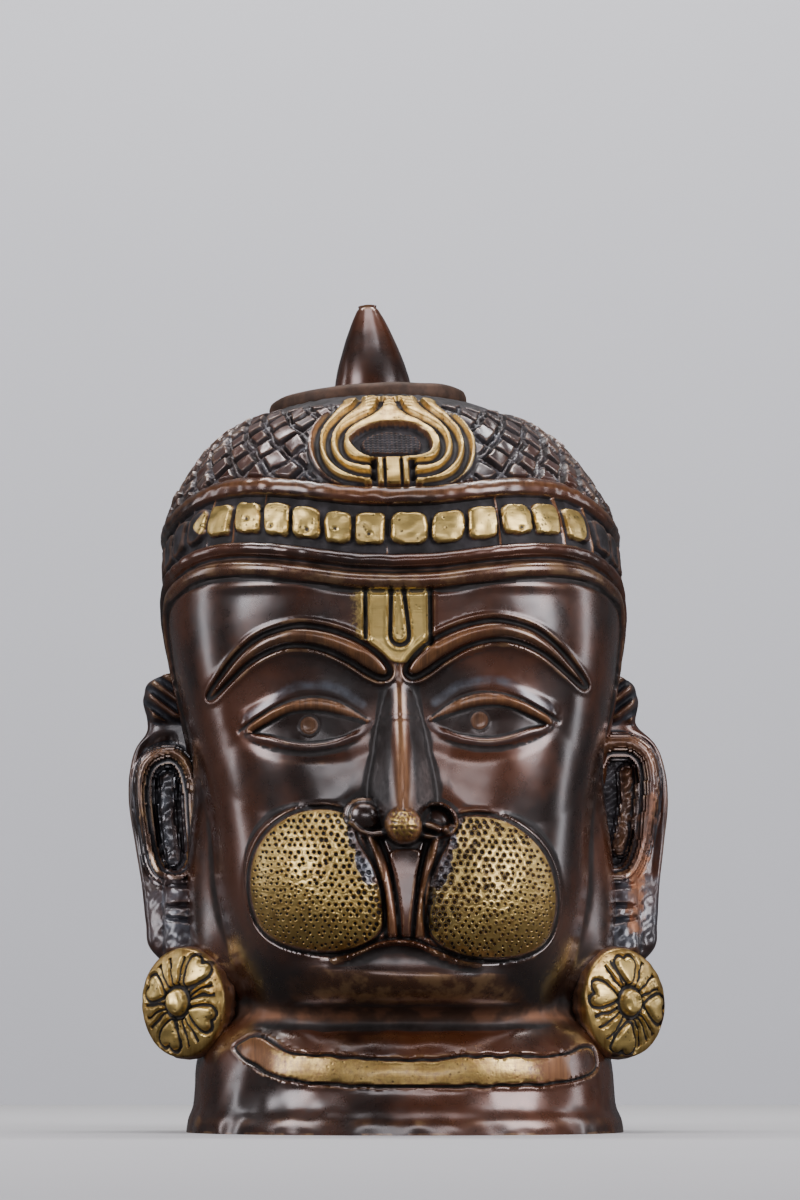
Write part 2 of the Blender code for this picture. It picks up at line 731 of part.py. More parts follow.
def main():
    for made in list(bpy.data.objects):
        bpy.data.objects.remove(made)
    head = sculpted_head()
    for form in (dome(), motif(), tablets()):
        boolean(head, form, "UNION")
    for name, sign in (("left", -1), ("right", 1)):
        boolean(head, ear("ear_" + name, sign), "UNION")
        boolean(head, rosette("rosette_" + name, sign), "UNION")
    boolean(head, cap(), "UNION")
    boolean(head, core(), "DIFFERENCE")
    reach = HEIGHT
    back = BACK_RIM + FORWARD * PART
    boolean(head, box("below", (-reach, -reach, -reach), (reach, reach, 0)), "DIFFERENCE")
    boolean(head, box("behind", (-reach, back, -reach), (reach, reach, 2 * reach)), "DIFFERENCE")
    head.data.materials.append(dark_brass())
    head.data.shade_smooth()
    head.data.set_sharp_from_angle(angle=math.radians(50))


main()
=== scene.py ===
"""Looks of a cast brass mask of Hanuman: the carved head, its crown, ears, ear flowers and finial.

Shapes are laid out in millimetres round the head's own axis: x to the viewer's right, y away from
the viewer, z up. The casting's lean and the frame's place are added when a mesh is written.
"""

import logging
import math
from dataclasses import dataclass, field
from enum import Enum

import bpy
import numpy as np
from mathutils import Matrix, Vector
from numpy.typing import NDArray


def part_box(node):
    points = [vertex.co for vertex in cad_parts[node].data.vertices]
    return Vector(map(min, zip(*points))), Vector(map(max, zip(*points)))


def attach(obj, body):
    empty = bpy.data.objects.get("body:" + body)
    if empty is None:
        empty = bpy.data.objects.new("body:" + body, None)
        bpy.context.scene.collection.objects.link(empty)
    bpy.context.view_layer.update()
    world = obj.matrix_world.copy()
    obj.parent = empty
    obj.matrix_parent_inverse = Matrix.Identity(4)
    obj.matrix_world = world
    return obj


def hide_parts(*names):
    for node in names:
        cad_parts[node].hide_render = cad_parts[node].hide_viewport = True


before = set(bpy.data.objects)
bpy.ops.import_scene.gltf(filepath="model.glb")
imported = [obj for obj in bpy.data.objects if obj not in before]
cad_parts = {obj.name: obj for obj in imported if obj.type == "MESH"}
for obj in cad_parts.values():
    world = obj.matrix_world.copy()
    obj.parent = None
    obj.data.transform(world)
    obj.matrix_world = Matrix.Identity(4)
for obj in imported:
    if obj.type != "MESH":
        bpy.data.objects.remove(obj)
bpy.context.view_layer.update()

Array = NDArray[np.float64]
Points = tuple[tuple[float, float], ...]

log = logging.getLogger("hanuman_mask")

NODE = "hanuman_mask"
BODY = "root"

LOW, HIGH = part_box(NODE)
FULL_HEIGHT = 305.32  # the casting's height in the units of this file
UNIT = (HIGH.z - LOW.z) / FULL_HEIGHT
BACK_RIM = 40.0  # the open back, behind the axis
FORWARD = HIGH.y / UNIT - BACK_RIM
WALL = 4.5
BURIED = 3.0  # how far a joined form reaches into what carries it


class Mark(str, Enum):
    """What the meshes tell their finish at each point."""

    GOLD = "gold"  # millimetres inside a gold area, negative outside
    SOOT = "soot"  # 1 on blackened ground, and where black is painted as shade: under the upper lids, round the top of the dome and under the finial's plate
    RAW = "raw"  # 1 on rough, unpolished metal
    RUBBED = "rubbed"  # 1 where hands and brushes wore the lacquer to a warm brown, and on the pouches' outer lower sides as painted shade
    BLOOM = "bloom"  # 1 under a blue-grey bloom, and on the eyes' fold crests and lower lids as a painted highlight
    DEEP = "deep"  # 1 where the colour is darkest: dark patina on the nose's side planes and the finial's plate, and painted shade under the chin, on the eyeballs and in the inner corners of the sockets
    CAVITY = "cavity"  # millimetres below the smoothed surface, negative on a ridge


# Curves and forms


def smooth_through(points: Points, at: Array | float) -> Array:
    """Reads a smooth curve through (position, value) points.

    Args:
        points: The points, in order of position.
        at: The positions to read it at.

    Returns:
        The values there.
    """
    xs, ys = np.array(points, float).T
    slopes = np.gradient(ys, xs)
    at = np.clip(at, xs[0], xs[-1])
    i = np.clip(np.searchsorted(xs, at) - 1, 0, len(xs) - 2)
    gap = xs[i + 1] - xs[i]
    t = (at - xs[i]) / gap
    return (
        ys[i] * (1 + 2 * t) * (1 - t) ** 2
        + slopes[i] * gap * t * (1 - t) ** 2
        + ys[i + 1] * t * t * (3 - 2 * t)
        + slopes[i + 1] * gap * t * t * (t - 1)
    )


def step(low: float | Array, high: float | Array, value: Array) -> Array:
    """0 below low, 1 above high, and a smooth rise between."""
    t = np.clip((value - low) / (high - low), 0, 1)
    return t * t * (3 - 2 * t)


def ridge(distance: Array, half_width: float | Array) -> Array:
    """A rounded ridge, 1 on its line and 0 past half its width."""
    return np.clip(1 - (distance / half_width) ** 2, 0, 1)


def swell(across: Array, up: Array, power: float = 1.0) -> Array:
    """A dome over an ellipse, given distances as shares of its half axes."""
    return np.clip(1 - across**2 - up**2, 0, 1) ** power


def larger(a: Array, b: Array, softness: float) -> Array:
    """The larger of two forms, blended where they meet."""
    return 0.5 * (a + b + np.sqrt((a - b) ** 2 + softness**2))


def chiselled(distance: Array, width: float, depth: float) -> Array:
    """A cut made with a chisel: a rounded valley, and the burr it throws up on both sides."""
    cut = -depth * np.clip(1 - (distance / (0.5 * width)) ** 2, 0, 1)
    return cut + 0.2 * depth * ridge(distance - 0.5 * width - 0.45, 0.55)


def spread(cell: Array, key: float) -> Array:
    """A number from 0 to 1 for each cell of a pattern, always the same for the same cell."""
    return np.abs(np.sin(cell * 12.9898 + key * 78.233) * 43758.5453) % 1.0


@dataclass(frozen=True)
class Unevenness:
    """The soft, uneven surface that hand work leaves."""

    seed: int
    length: float  # from one hump to the next, in millimetres
    waves: int = 14

    def at(self, *place: Array) -> Array:
        """Reads it, from about -1 to 1.

        Args:
            place: The coordinates, each an array of the same shape.

        Returns:
            The unevenness at each place.
        """
        random = np.random.default_rng(self.seed)
        total = np.zeros(np.broadcast(*place).shape)
        for _ in range(self.waves):
            turn = random.normal(size=len(place))
            turn *= 2 * math.pi / self.length * random.uniform(0.7, 1.3) / np.linalg.norm(turn)
            total = total + np.sin(sum(a * t for a, t in zip(place, turn)) + random.uniform(0, 2 * math.pi))
        return total / math.sqrt(self.waves)


@dataclass(frozen=True)
class Line:
    """A smooth line drawn on a surface through a few points."""

    points: Points
    closed: bool = False
    steps: int = 7  # straight bits from one point to the next
    reach: float = 7.0  # distances are only worked out this near to the line

    def samples(self) -> Array:
        """The line as many short straight bits."""
        given = np.array(self.points, float)
        if self.closed:
            padded = np.concatenate([given[-1:], given, given[:2]])
        else:
            padded = np.concatenate([2 * given[:1] - given[1:2], given, 2 * given[-1:] - given[-2:-1]])
        t = np.linspace(0, 1, self.steps, endpoint=False)[:, None]
        bits = []
        for a, b, c, d in zip(padded, padded[1:], padded[2:], padded[3:]):
            bend = 2 * b + (c - a) * t + (2 * a - 5 * b + 4 * c - d) * t**2 + (3 * b - a - 3 * c + d) * t**3
            bits.append(0.5 * bend)
        if not self.closed:
            bits.append(given[-1:])
        return np.concatenate(bits)

    def measure(self, x: Array, z: Array) -> tuple[Array, Array]:
        """Measures how far places are from the line.

        Args:
            x: The places' first coordinate.
            z: The places' second coordinate.

        Returns:
            The distance, negative inside a closed line, and how far along the line each place is,
            from 0 to 1.
        """
        x, z = np.broadcast_arrays(x, z)
        drawn = self.samples()
        starts = drawn if self.closed else drawn[:-1]
        ends = np.roll(drawn, -1, axis=0) if self.closed else drawn[1:]
        distance, share = np.full(x.size, self.reach), np.zeros(x.size)
        flat_x, flat_z = x.ravel(), z.ravel()
        low, high = drawn.min(axis=0) - self.reach, drawn.max(axis=0) + self.reach
        near = (flat_x > low[0]) & (flat_x < high[0]) & (flat_z > low[1]) & (flat_z < high[1])
        for part in np.array_split(np.flatnonzero(near), max(1, near.sum() // 20000)):
            px, pz = flat_x[part, None], flat_z[part, None]
            dx, dz = (ends - starts).T
            t = np.clip(((px - starts[:, 0]) * dx + (pz - starts[:, 1]) * dz) / (dx**2 + dz**2), 0, 1)
            away = np.hypot(px - starts[:, 0] - t * dx, pz - starts[:, 1] - t * dz)
            nearest = away.argmin(axis=1)
            rows = np.arange(len(part))
            distance[part] = np.minimum(away[rows, nearest], self.reach)
            share[part] = (nearest + t[rows, nearest]) / len(starts)
            if self.closed:
                crossing = (starts[:, 1] > pz) != (ends[:, 1] > pz)
                at = starts[:, 0] + (pz - starts[:, 1]) * dx / np.where(dz == 0, 1e-9, dz)
                inside = (crossing & (px < at)).sum(axis=1) % 2 == 1
                distance[part] = np.where(inside, -distance[part], distance[part])
        return distance.reshape(x.shape), share.reshape(x.shape)

    def away(self, x: Array, z: Array) -> Array:
        """The distance alone, negative inside a closed line."""
        return self.measure(x, z)[0]


@dataclass
class Carving:
    """What a carving does at many places: how far it stands out, and its finish."""

    out: Array
    gold: Array
    soot: Array
    raw: Array
    rubbed: Array
    bloom: Array
    deep: Array

    @classmethod
    def blank(cls, shape: tuple[int, ...]) -> "Carving":
        """A surface with nothing carved or gilded."""
        return cls(np.zeros(shape), np.full(shape, -4.0), *(np.zeros(shape) for _ in range(5)))

    def gild(self, inside: Array) -> None:
        """Adds a gold area, given the millimetres inside its edge."""
        self.gold = np.maximum(self.gold, np.clip(inside, -4, 4))

    def blacken(self, amount: Array) -> None:
        """Adds blackened ground, and black painted as shade."""
        self.soot = np.maximum(self.soot, np.clip(amount, 0, 1))

    def roughen(self, amount: Array) -> None:
        """Adds rough, unpolished metal."""
        self.raw = np.maximum(self.raw, np.clip(amount, 0, 1))

    def rub(self, amount: Array) -> None:
        """Adds lacquer worn to a warm brown, and the pouches' painted shade."""
        self.rubbed = np.maximum(self.rubbed, np.clip(amount, 0, 1))

    def dull(self, amount: Array) -> None:
        """Adds a blue-grey bloom, and the eyes' painted highlight."""
        self.bloom = np.maximum(self.bloom, np.clip(amount, 0, 1))

    def darken(self, amount: Array) -> None:
        """Adds the darkest patina, and painted shade."""
        self.deep = np.maximum(self.deep, np.clip(amount, 0, 1))

    def marks(self) -> dict[Mark, Array]:
        """The finish of each place, by name."""
        worn = {Mark.RAW: self.raw, Mark.RUBBED: self.rubbed, Mark.BLOOM: self.bloom, Mark.DEEP: self.deep}
        return {Mark.GOLD: self.gold, Mark.SOOT: self.soot, **worn}


# The head's own form


@dataclass
class HeadForm:
    """The smooth head under all of its carving."""

    foot_shift: float = 1.7  # the foot sits a little to the right
    lean: float = -0.0105  # and the casting leans and bows to the left as it rises
    bow: float = -0.000065
    back_depth: float = 82.0
    back_squareness: float = 2.3
    side_squareness: float = 2.6
    side_top: float = 225.0
    # Height, half width, depth in front of the axis, squareness
    stations: tuple[tuple[float, float, float, float], ...] = (
        (-6, 79.0, 82.0, 2.3), (0, 79.0, 82.0, 2.3), (4, 78.6, 81.6, 2.3), (9, 76.6, 79.0, 2.3),
        (15, 76.0, 77.4, 2.3), (22, 75.5, 77.4, 2.3), (29, 74.2, 75.4, 2.3), (34.5, 72.0, 71.0, 2.3),
        (38.5, 68.5, 66.0, 2.4), (42, 63.5, 68.0, 2.4), (45.5, 60.0, 74.0, 2.5), (51, 60.0, 78.5, 2.6),
        (60, 63.0, 80.0, 2.8), (75, 66.5, 79.8, 3.0), (88, 68.0, 79.2, 3.2), (102, 68.3, 79.0, 3.3),
        (118, 70.0, 79.0, 3.3), (134, 73.5, 79.6, 3.2), (147, 76.5, 80.8, 3.1), (160, 79.2, 82.4, 3.0),
        (172, 81.3, 83.8, 2.9), (183, 83.2, 85.4, 2.7), (194, 83.8, 87.0, 2.5), (205, 83.6, 87.6, 2.3),
        (216, 82.8, 86.8, 2.2), (225, 80.4, 84.6, 2.1), (233, 76.8, 80.8, 2.05), (241, 71.8, 75.6, 2.0),
        (248.5, 65.6, 69.2, 2.0), (255, 57.8, 61.4, 2.0), (260.5, 48.6, 52.0, 2.0), (265, 38.0, 41.0, 2.0),
        (267.5, 29.0, 31.0, 2.0),
    )
    # Behind the face: height, half width, depth
    sides: tuple[tuple[float, float, float], ...] = (
        (-6, 60, 30), (30, 68, 40), (44, 73.5, 47), (150, 74.5, 48), (168, 76, 50), (190, 78, 50),
        (230, 60, 40), (268, 20, 20),
    )
    lengths: Array = field(init=False)

    def __post_init__(self) -> None:
        """Measures how far each station lies along the front profile."""
        rows = np.array(self.stations, float)
        gaps = np.hypot(np.diff(rows[:, 0]), np.diff(rows[:, 2]))
        self.lengths = np.concatenate([[0], np.cumsum(gaps)])

    def station(self, column: int, along: Array) -> Array:
        """One measure of the outline, at lengths along the front profile."""
        return smooth_through(np.column_stack([self.lengths, np.array(self.stations)[:, column]]), along)

    def along_at(self, height: Array | float) -> Array:
        """How far along the front profile a height lies."""
        return np.interp(height, self.station(0, self.lengths), self.lengths)

    def radius(self, angle: Array, half_width: Array, depth: Array, squareness: Array | float) -> Array:
        """How far the outline lies from the axis, in the direction of an angle from the front."""
        across, forward = np.abs(np.sin(angle)), np.cos(angle)
        front = (across / half_width) ** squareness + (np.abs(forward) / depth) ** squareness
        behind = np.abs(forward) / self.back_depth * 76 / half_width
        back = (across / half_width) ** self.back_squareness + behind**self.back_squareness
        return np.where(forward >= 0, front ** (-1 / squareness), back ** (-1 / self.back_squareness))

    def point(self, angle: Array, along: Array, inset: float = 0.0) -> Array:
        """Points of the smooth head.

        Args:
            angle: The direction from the front, in radians.
            along: How far up the front profile, in millimetres.
            inset: How far inside the surface.

        Returns:
            The points, in millimetres round the head's axis.
        """
        angle, along = np.broadcast_arrays(angle, along)
        height = self.station(0, along)
        face = self.radius(angle, self.station(1, along), self.station(2, along), self.station(3, along))
        side = np.array(self.sides, float)
        width, depth = (smooth_through(side[:, [0, column]], height) for column in (1, 2))
        behind = self.radius(angle, width, depth, self.side_squareness)
        radius = np.where(height < self.side_top, larger(face, behind, 2.5), face) - inset
        return np.stack([radius * np.sin(angle), -radius * np.cos(angle), height], axis=-1)

    def normal(self, angle: Array, along: Array) -> Array:
        """The direction that faces out of the smooth head."""
        turn, climb = 0.01, 0.6
        across = self.point(angle + turn, along) - self.point(angle - turn, along)
        above = self.point(angle, np.minimum(along + climb, self.lengths[-1]))
        normal = np.cross(across, above - self.point(angle, along - climb))
        return normal / np.maximum(np.linalg.norm(normal, axis=-1, keepdims=True), 1e-9)

    def angle_at(self, x: Array, height: Array) -> Array:
        """The direction from the front in which the front of the smooth head lies at x across."""
        along = self.along_at(height)
        low, high = np.full(x.shape, -1.3), np.full(x.shape, 1.3)
        for _ in range(20):
            middle = (low + high) / 2
            short = self.point(middle, along)[:, 0] < x
            low, high = np.where(short, middle, low), np.where(short, high, middle)
        return (low + high) / 2

    def leaning(self, height: Array) -> Array:
        """How far the casting has moved sideways at a height."""
        return self.foot_shift + self.lean * height + self.bow * height**2

    def placed(self, points: Array) -> Array:
        """The same points in the frame, in metres, with the casting's lean."""
        points = np.array(points, float)
        points[..., 0] += self.leaning(points[..., 2])
        points[..., 1] += FORWARD
        return points * UNIT


HEAD = HeadForm()


# Mesh tools


def deselect() -> None:
    """Leaves nothing selected, in object mode."""
    if bpy.context.object and bpy.context.object.mode != "OBJECT":
        bpy.ops.object.mode_set(mode="OBJECT")
    bpy.ops.object.select_all(action="DESELECT")


def activate(made: bpy.types.Object) -> None:
    """Selects one object alone and makes it the active one."""
    deselect()
    made.select_set(True)
    bpy.context.view_layer.objects.active = made


def read_points(made: bpy.types.Object) -> Array:
    """The mesh's points."""
    points = np.zeros(len(made.data.vertices) * 3)
    made.data.vertices.foreach_get("co", points)
    return points.reshape(-1, 3)


def write_points(made: bpy.types.Object, points: Array) -> None:
    """Moves the mesh's points."""
    made.data.vertices.foreach_set("co", np.ascontiguousarray(points, np.float32).ravel())
    made.data.update()


def write_mark(made: bpy.types.Object, mark: Mark, values: Array) -> None:
    """Stores one number for each point of the mesh."""
    data = made.data.attributes.get(mark.value)
    data = data or made.data.attributes.new(mark.value, "FLOAT", "POINT")
    data.data.foreach_set("value", np.ascontiguousarray(values, np.float32).ravel())


def flat_grid(name: str, columns: int, rows: int) -> bpy.types.Object:
    """Adds a grid whose points lie at whole numbers of columns and rows.

    Args:
        name: The new object's name.
        columns: How many faces across.
        rows: How many faces up.

    Returns:
        The flat grid, to be refined and then bent into shape.
    """
    deselect()
    bpy.ops.mesh.primitive_grid_add(x_subdivisions=columns, y_subdivisions=rows, size=2)
    made = bpy.context.object
    made.name = made.data.name = name
    points = read_points(made)
    points[:, 0] = (points[:, 0] + 1) * columns / 2
    points[:, 1] = (points[:, 1] + 1) * rows / 2
    write_points(made, points)
    return made


def refine(made: bpy.types.Object, chosen: Array) -> None:
    """Divides the chosen faces of a flat grid in four."""
    activate(made)
    bpy.context.tool_settings.mesh_select_mode = (False, False, True)
    bpy.ops.object.mode_set(mode="EDIT")
    bpy.ops.mesh.select_all(action="DESELECT")
    bpy.ops.object.mode_set(mode="OBJECT")
    made.data.polygons.foreach_set("select", chosen)
    bpy.ops.object.mode_set(mode="EDIT")
    bpy.ops.mesh.subdivide(number_cuts=1)
    bpy.ops.object.mode_set(mode="OBJECT")


def face_middles(made: bpy.types.Object) -> Array:
    """The middle of each face."""
    middles = np.zeros(len(made.data.polygons) * 3)
    made.data.polygons.foreach_get("center", middles)
    return middles.reshape(-1, 3)


def gather(points: Array, pole: Array) -> None:
    """Brings the row of points at a pole together on the axis."""
    points[pole] = (0, 0, points[pole, 2].mean())


def close_up(made: bpy.types.Object, merge: float = 0.00002) -> None:
    """Merges the seam and the poles of a bent grid, and turns its faces outwards."""
    activate(made)
    bpy.ops.object.mode_set(mode="EDIT")
    bpy.ops.mesh.select_all(action="SELECT")
    bpy.ops.mesh.remove_doubles(threshold=merge)
    bpy.ops.mesh.dissolve_degenerate(threshold=0.000002)
    bpy.ops.mesh.normals_make_consistent(inside=False)
    bpy.ops.object.mode_set(mode="OBJECT")


def cut(made: bpy.types.Object, cutter: bpy.types.Object) -> None:
    """Takes one closed shape out of another."""
    activate(made)
    modifier = made.modifiers.new(cutter.name, "BOOLEAN")
    modifier.object = cutter
    modifier.operation = "DIFFERENCE"
    modifier.solver = "MANIFOLD"
    bpy.ops.object.modifier_apply(modifier=modifier.name)


def measure_cavities(made: bpy.types.Object, rounds: int = 9) -> None:
    """Marks how far each point lies below the surface smoothed around it.

    Args:
        made: A finished mesh.
        rounds: How often the surface is smoothed; more finds wider hollows.
    """
    mesh = made.data
    edges = np.zeros(len(mesh.edges) * 2, np.int64)
    mesh.edges.foreach_get("vertices", edges)
    starts, ends = edges.reshape(-1, 2).T
    points = read_points(made)
    count = np.bincount(starts, minlength=len(points)) + np.bincount(ends, minlength=len(points))
    smoothed = points.copy()
    for _ in range(rounds):
        around = np.empty_like(smoothed)
        for axis in range(3):
            values = smoothed[:, axis]
            around[:, axis] = np.bincount(starts, values[ends], len(points)) + np.bincount(
                ends, values[starts], len(points)
            )
        smoothed = 0.35 * smoothed + 0.65 * around / np.maximum(count, 1)[:, None]
    normals = np.zeros(len(points) * 3)
    mesh.vertex_normals.foreach_get("vector", normals)
    depth = ((smoothed - points) * normals.reshape(-1, 3)).sum(axis=1) / UNIT
    write_mark(made, Mark.CAVITY, depth)


def finish_piece(made: bpy.types.Object, material: bpy.types.Material, smooth: float = 55.0) -> None:
    """Smooths, dresses and registers a finished piece of the casting."""
    activate(made)
    bpy.ops.object.shade_smooth_by_angle(angle=math.radians(smooth))
    measure_cavities(made)
    made.data.materials.clear()
    made.data.materials.append(material)
    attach(made, BODY)
    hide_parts(NODE)
    triangles = sum(len(face.vertices) - 2 for face in made.data.polygons)
    log.info("%s: %d triangles", made.name, triangles)


def wrapped_angles(front: float, front_gap: float, side: float, side_gap: float, back_count: int) -> Array:
    """Angles right round the head, close together in front.

    Args:
        front: How far from the middle the close spacing goes, in degrees.
        front_gap: The close spacing, in degrees.
        side: Where the sides end, in degrees.
        side_gap: The spacing of the sides, in degrees.
        back_count: How many angles cover what is left on each side.

    Returns:
        The angles in radians, from the back round the front to the back again.
    """
    n_front = round(front / front_gap)
    n_side = round((side - front) / side_gap)
    half = np.concatenate(
        [
            np.linspace(0, front, n_front + 1)[:-1],
            np.linspace(front, side, n_side + 1)[:-1],
            np.linspace(side, 180, back_count + 1),
        ]
    )
    return np.radians(np.concatenate([-half[:0:-1], half]))


@dataclass
class Cutters:
    """The shapes that hollow the casting and cut it flat."""

    reach: float = 400.0
    columns: int = 96
    rows: int = 60
    top: float = 263.5
    muzzle_depth: float = 6.5

    def core(self, name: str, wall: float) -> bpy.types.Object:
        """Makes the hollow inside: the smooth head inset by a wall, fuller behind the muzzle.

        Args:
            name: The cutter's name.
            wall: The wall it leaves, in millimetres.

        Returns:
            A closed shape.
        """
        made = flat_grid(name, self.columns, self.rows)
        grid = read_points(made)
        angle = (grid[:, 0] / self.columns * 2 - 1) * math.pi
        row = grid[:, 1] - 1
        along = np.clip(row / (self.rows - 2), 0, 1) * HEAD.along_at(self.top)
        points = HEAD.point(angle, along, wall + 1.2)
        height = points[:, 2]
        mass = self.muzzle_depth * np.exp(-(((points[:, 0] / 40) ** 2 + ((height - 86) / 24) ** 2) ** 1.6))
        points[:, 1] -= mass * step(0.3, 0.6, np.cos(angle))
        points[:, 2] -= wall * step(150, self.top + 4, height) + 2.0 * step(-6, -5, -height)
        gather(points, row < -0.5)
        gather(points, row > self.rows - 1.5)
        write_points(made, HEAD.placed(points))
        rough = Carving.blank(angle.shape)
        rough.roughen(np.full(angle.shape, 0.5))
        for mark, values in rough.marks().items():
            write_mark(made, mark, values)
        close_up(made)
        return made

    def block(
        self, name: str, low: tuple[float, float, float], high: tuple[float, float, float]
    ) -> bpy.types.Object:
        """Makes a block between two corners, in metres."""
        deselect()
        bpy.ops.mesh.primitive_cube_add(size=1, location=[(a + b) / 2 for a, b in zip(low, high)])
        made = bpy.context.object
        made.name = name
        made.scale = [b - a for a, b in zip(low, high)]
        bpy.ops.object.transform_apply(location=True, scale=True)
        return made

    def flats(self) -> list[bpy.types.Object]:
        """The blocks behind the open back and below the floor."""
        far = self.reach * UNIT
        behind = self.block("behind", (-far, HIGH.y, -far), (far, far, far))
        below = self.block("below", (-far, -far, -far), (far, far, LOW.z))
        return [behind, below]


# The face and neck


@dataclass(frozen=True)
class Tilt:
    """The carver's crooked lines: the brow climbs to the right and the mouth falls."""

    brow: float = 0.03
    mouth: float = -0.042
    low: float = 112.0
    high: float = 137.0

    def level(self, x: Array, height: Array) -> Array:
        """The height that a place would have if the carving were level."""
        slope = self.mouth + (self.brow - self.mouth) * step(self.low, self.high, height)
        return height - slope * x

    def height(self, x: Array, level: Array) -> Array:
        """The true height of a place in the muzzle, given its levelled height."""
        return level + self.mouth * x


@dataclass
class Eyes:
    """Both eyes, with their lids, the folds above them and the sockets."""

    iris: tuple[float, float] = (29.65, 142.3)
    iris_shift: float = -1.75  # both look a little to the left
    iris_radius: float = 3.4
    pupil_radius: float = 1.7
    lid_edge: Points = (
        (11.5, 142.9), (19.5, 145.5), (27, 147.3), (33, 147.8), (39, 147.0), (45, 144.4), (51.5, 141.0)
    )
    lower_edge: Points = ((45, 139.0), (40, 137.3), (35, 136.1), (30, 135.8), (24.5, 136.5), (17.5, 138.5))
    crease: Points = (
        (11.5, 144.2), (16.5, 147.8), (22, 150.6), (29, 152.2), (36, 151.6), (43, 149.2), (49, 146.0),
        (56, 141.9)
    )
    fold: Points = ((12.6, 149), (21.4, 154.7), (32, 156.4), (39, 154.8), (45.5, 150.6), (53, 146.4))

    def relief(self, x: Array, height: Array) -> Carving:
        """Carves both eyes.

        Args:
            x: Across from the middle, to the right.
            height: The levelled height.

        Returns:
            How far the surface stands forward, with its finish.
        """
        out = np.abs(x)
        socket = -4.6 * swell((out - 29) / 33, (height - 149) / 21, 1.4)
        corner = -3.2 * swell((out - 13) / 9, (height - 152) / 15, 1.2)
        ball = 3.6 * swell((out - 32) / 23, (height - 144) / 11.5, 0.8)
        opening = Line(self.lid_edge + self.lower_edge, closed=True).away(out, height)
        lid = Line(self.lid_edge).away(out, height)
        crease = Line(self.crease).away(out, height)
        above = step(-0.2, 0.4, height - smooth_through(self.lid_edge, out))
        between = (height < smooth_through(self.crease, out)) & (above > 0)
        sunk = -1.7 * step(-0.3, 0.7, -opening)
        middle = np.clip((smooth_through(self.crease, out) - smooth_through(self.lid_edge, out)) / 2, 0.6, 3)
        roll = 1.5 * ridge(lid - middle, middle + 0.5) * between
        seam = -0.9 * ridge(lid - 0.7, 0.9) * (opening < 0)
        fold = Line(self.fold).away(out, height)
        crest = 1.3 * ridge(fold, 3.6)
        under = 0.55 * ridge(opening - 1.3, 1.4) * (above < 0.5)
        cut_crease = chiselled(crease, 1.7, 1.0)
        seen = opening < -0.2
        place = np.hypot(x - np.sign(x) * self.iris[0] - self.iris_shift, height - self.iris[1])
        look = (0.35 * ridge(place, 9.0) - 0.55 * ridge(place - self.iris_radius, 0.7)) * seen
        look = look - 0.6 * (1 - step(self.pupil_radius - 0.4, self.pupil_radius + 0.3, place)) * seen
        # Black just under the edge of the upper lid, on the eyeball: dark patina in the carved seam and a
        # painted shadow of the lid.
        black = np.maximum(0.8 * ridge(lid - 0.6, 1.0) * (opening < 0), 0.7 * ridge(crease, 0.9))
        black = np.maximum(black, 0.7 * ridge(place - self.iris_radius, 0.7) * seen)
        done = Carving.blank(x.shape)
        done.out = socket + corner + ball + sunk + roll + seam + crest + under + cut_crease + look
        done.blacken(black)
        done.rub(0.85 * ridge(lid - middle, middle) * between)
        done.rub(0.45 * (1 - step(self.iris_radius - 0.6, self.iris_radius, place)) * seen)
        # Painted highlight: pale blue-grey on the crest of each fold and just below the lower lid, where they
        # catch the light.
        done.dull(0.7 * ridge(fold, 1.9) + 0.35 * ridge(opening - 1.6, 1.0) * (above < 0.5))
        # Painted shade: the eyeball darker inside its lids, most of all outside the iris, and the inner
        # corners of the sockets darker under the brows.
        done.darken(seen * (0.4 + 0.6 * step(self.iris_radius, self.iris_radius + 0.5, place)))
        done.darken(1.2 * swell((out - 13) / 17, (height - 156) / 12))
        return done


@dataclass
class Brows:
    """The two raised brows, each inside one deep cut line."""

    outline: Points = (
        (2.8, 160.4), (4.6, 163.8), (9.2, 168.2), (14.5, 171.6), (21.8, 174.6), (29, 176.4), (36, 176.9),
        (44.5, 175.2), (50.5, 172.5), (56.5, 167.8), (61.5, 162.4), (66.6, 156.0), (65.2, 154.6),
        (59, 159.3), (52, 164.9), (45, 168.4), (38, 170.1), (30.5, 169.6), (23.5, 167.5), (16.5, 163.8),
        (10.5, 159.8), (6.3, 157.8), (3.6, 158.3),
    )
    height: float = 1.7

    def relief(self, x: Array, height: Array) -> tuple[Array, Array, Array]:
        """Carves both brows; gives how far forward, and where they are blackened and worn."""
        away = Line(self.outline, closed=True).away(np.abs(x), height)
        roll = self.height * (1 - np.exp(-np.clip(-away - 0.8, 0, None) / 1.3))
        lip = 0.45 * ridge(away - 1.9, 1.2)
        groove = -1.5 * ridge(away, 1.25)
        rubbed = step(1.2, 2.6, -away) * (0.9 - 0.6 * step(14, 40, np.abs(x)))
        return roll + lip + groove, 0.9 * ridge(away, 1.1), rubbed


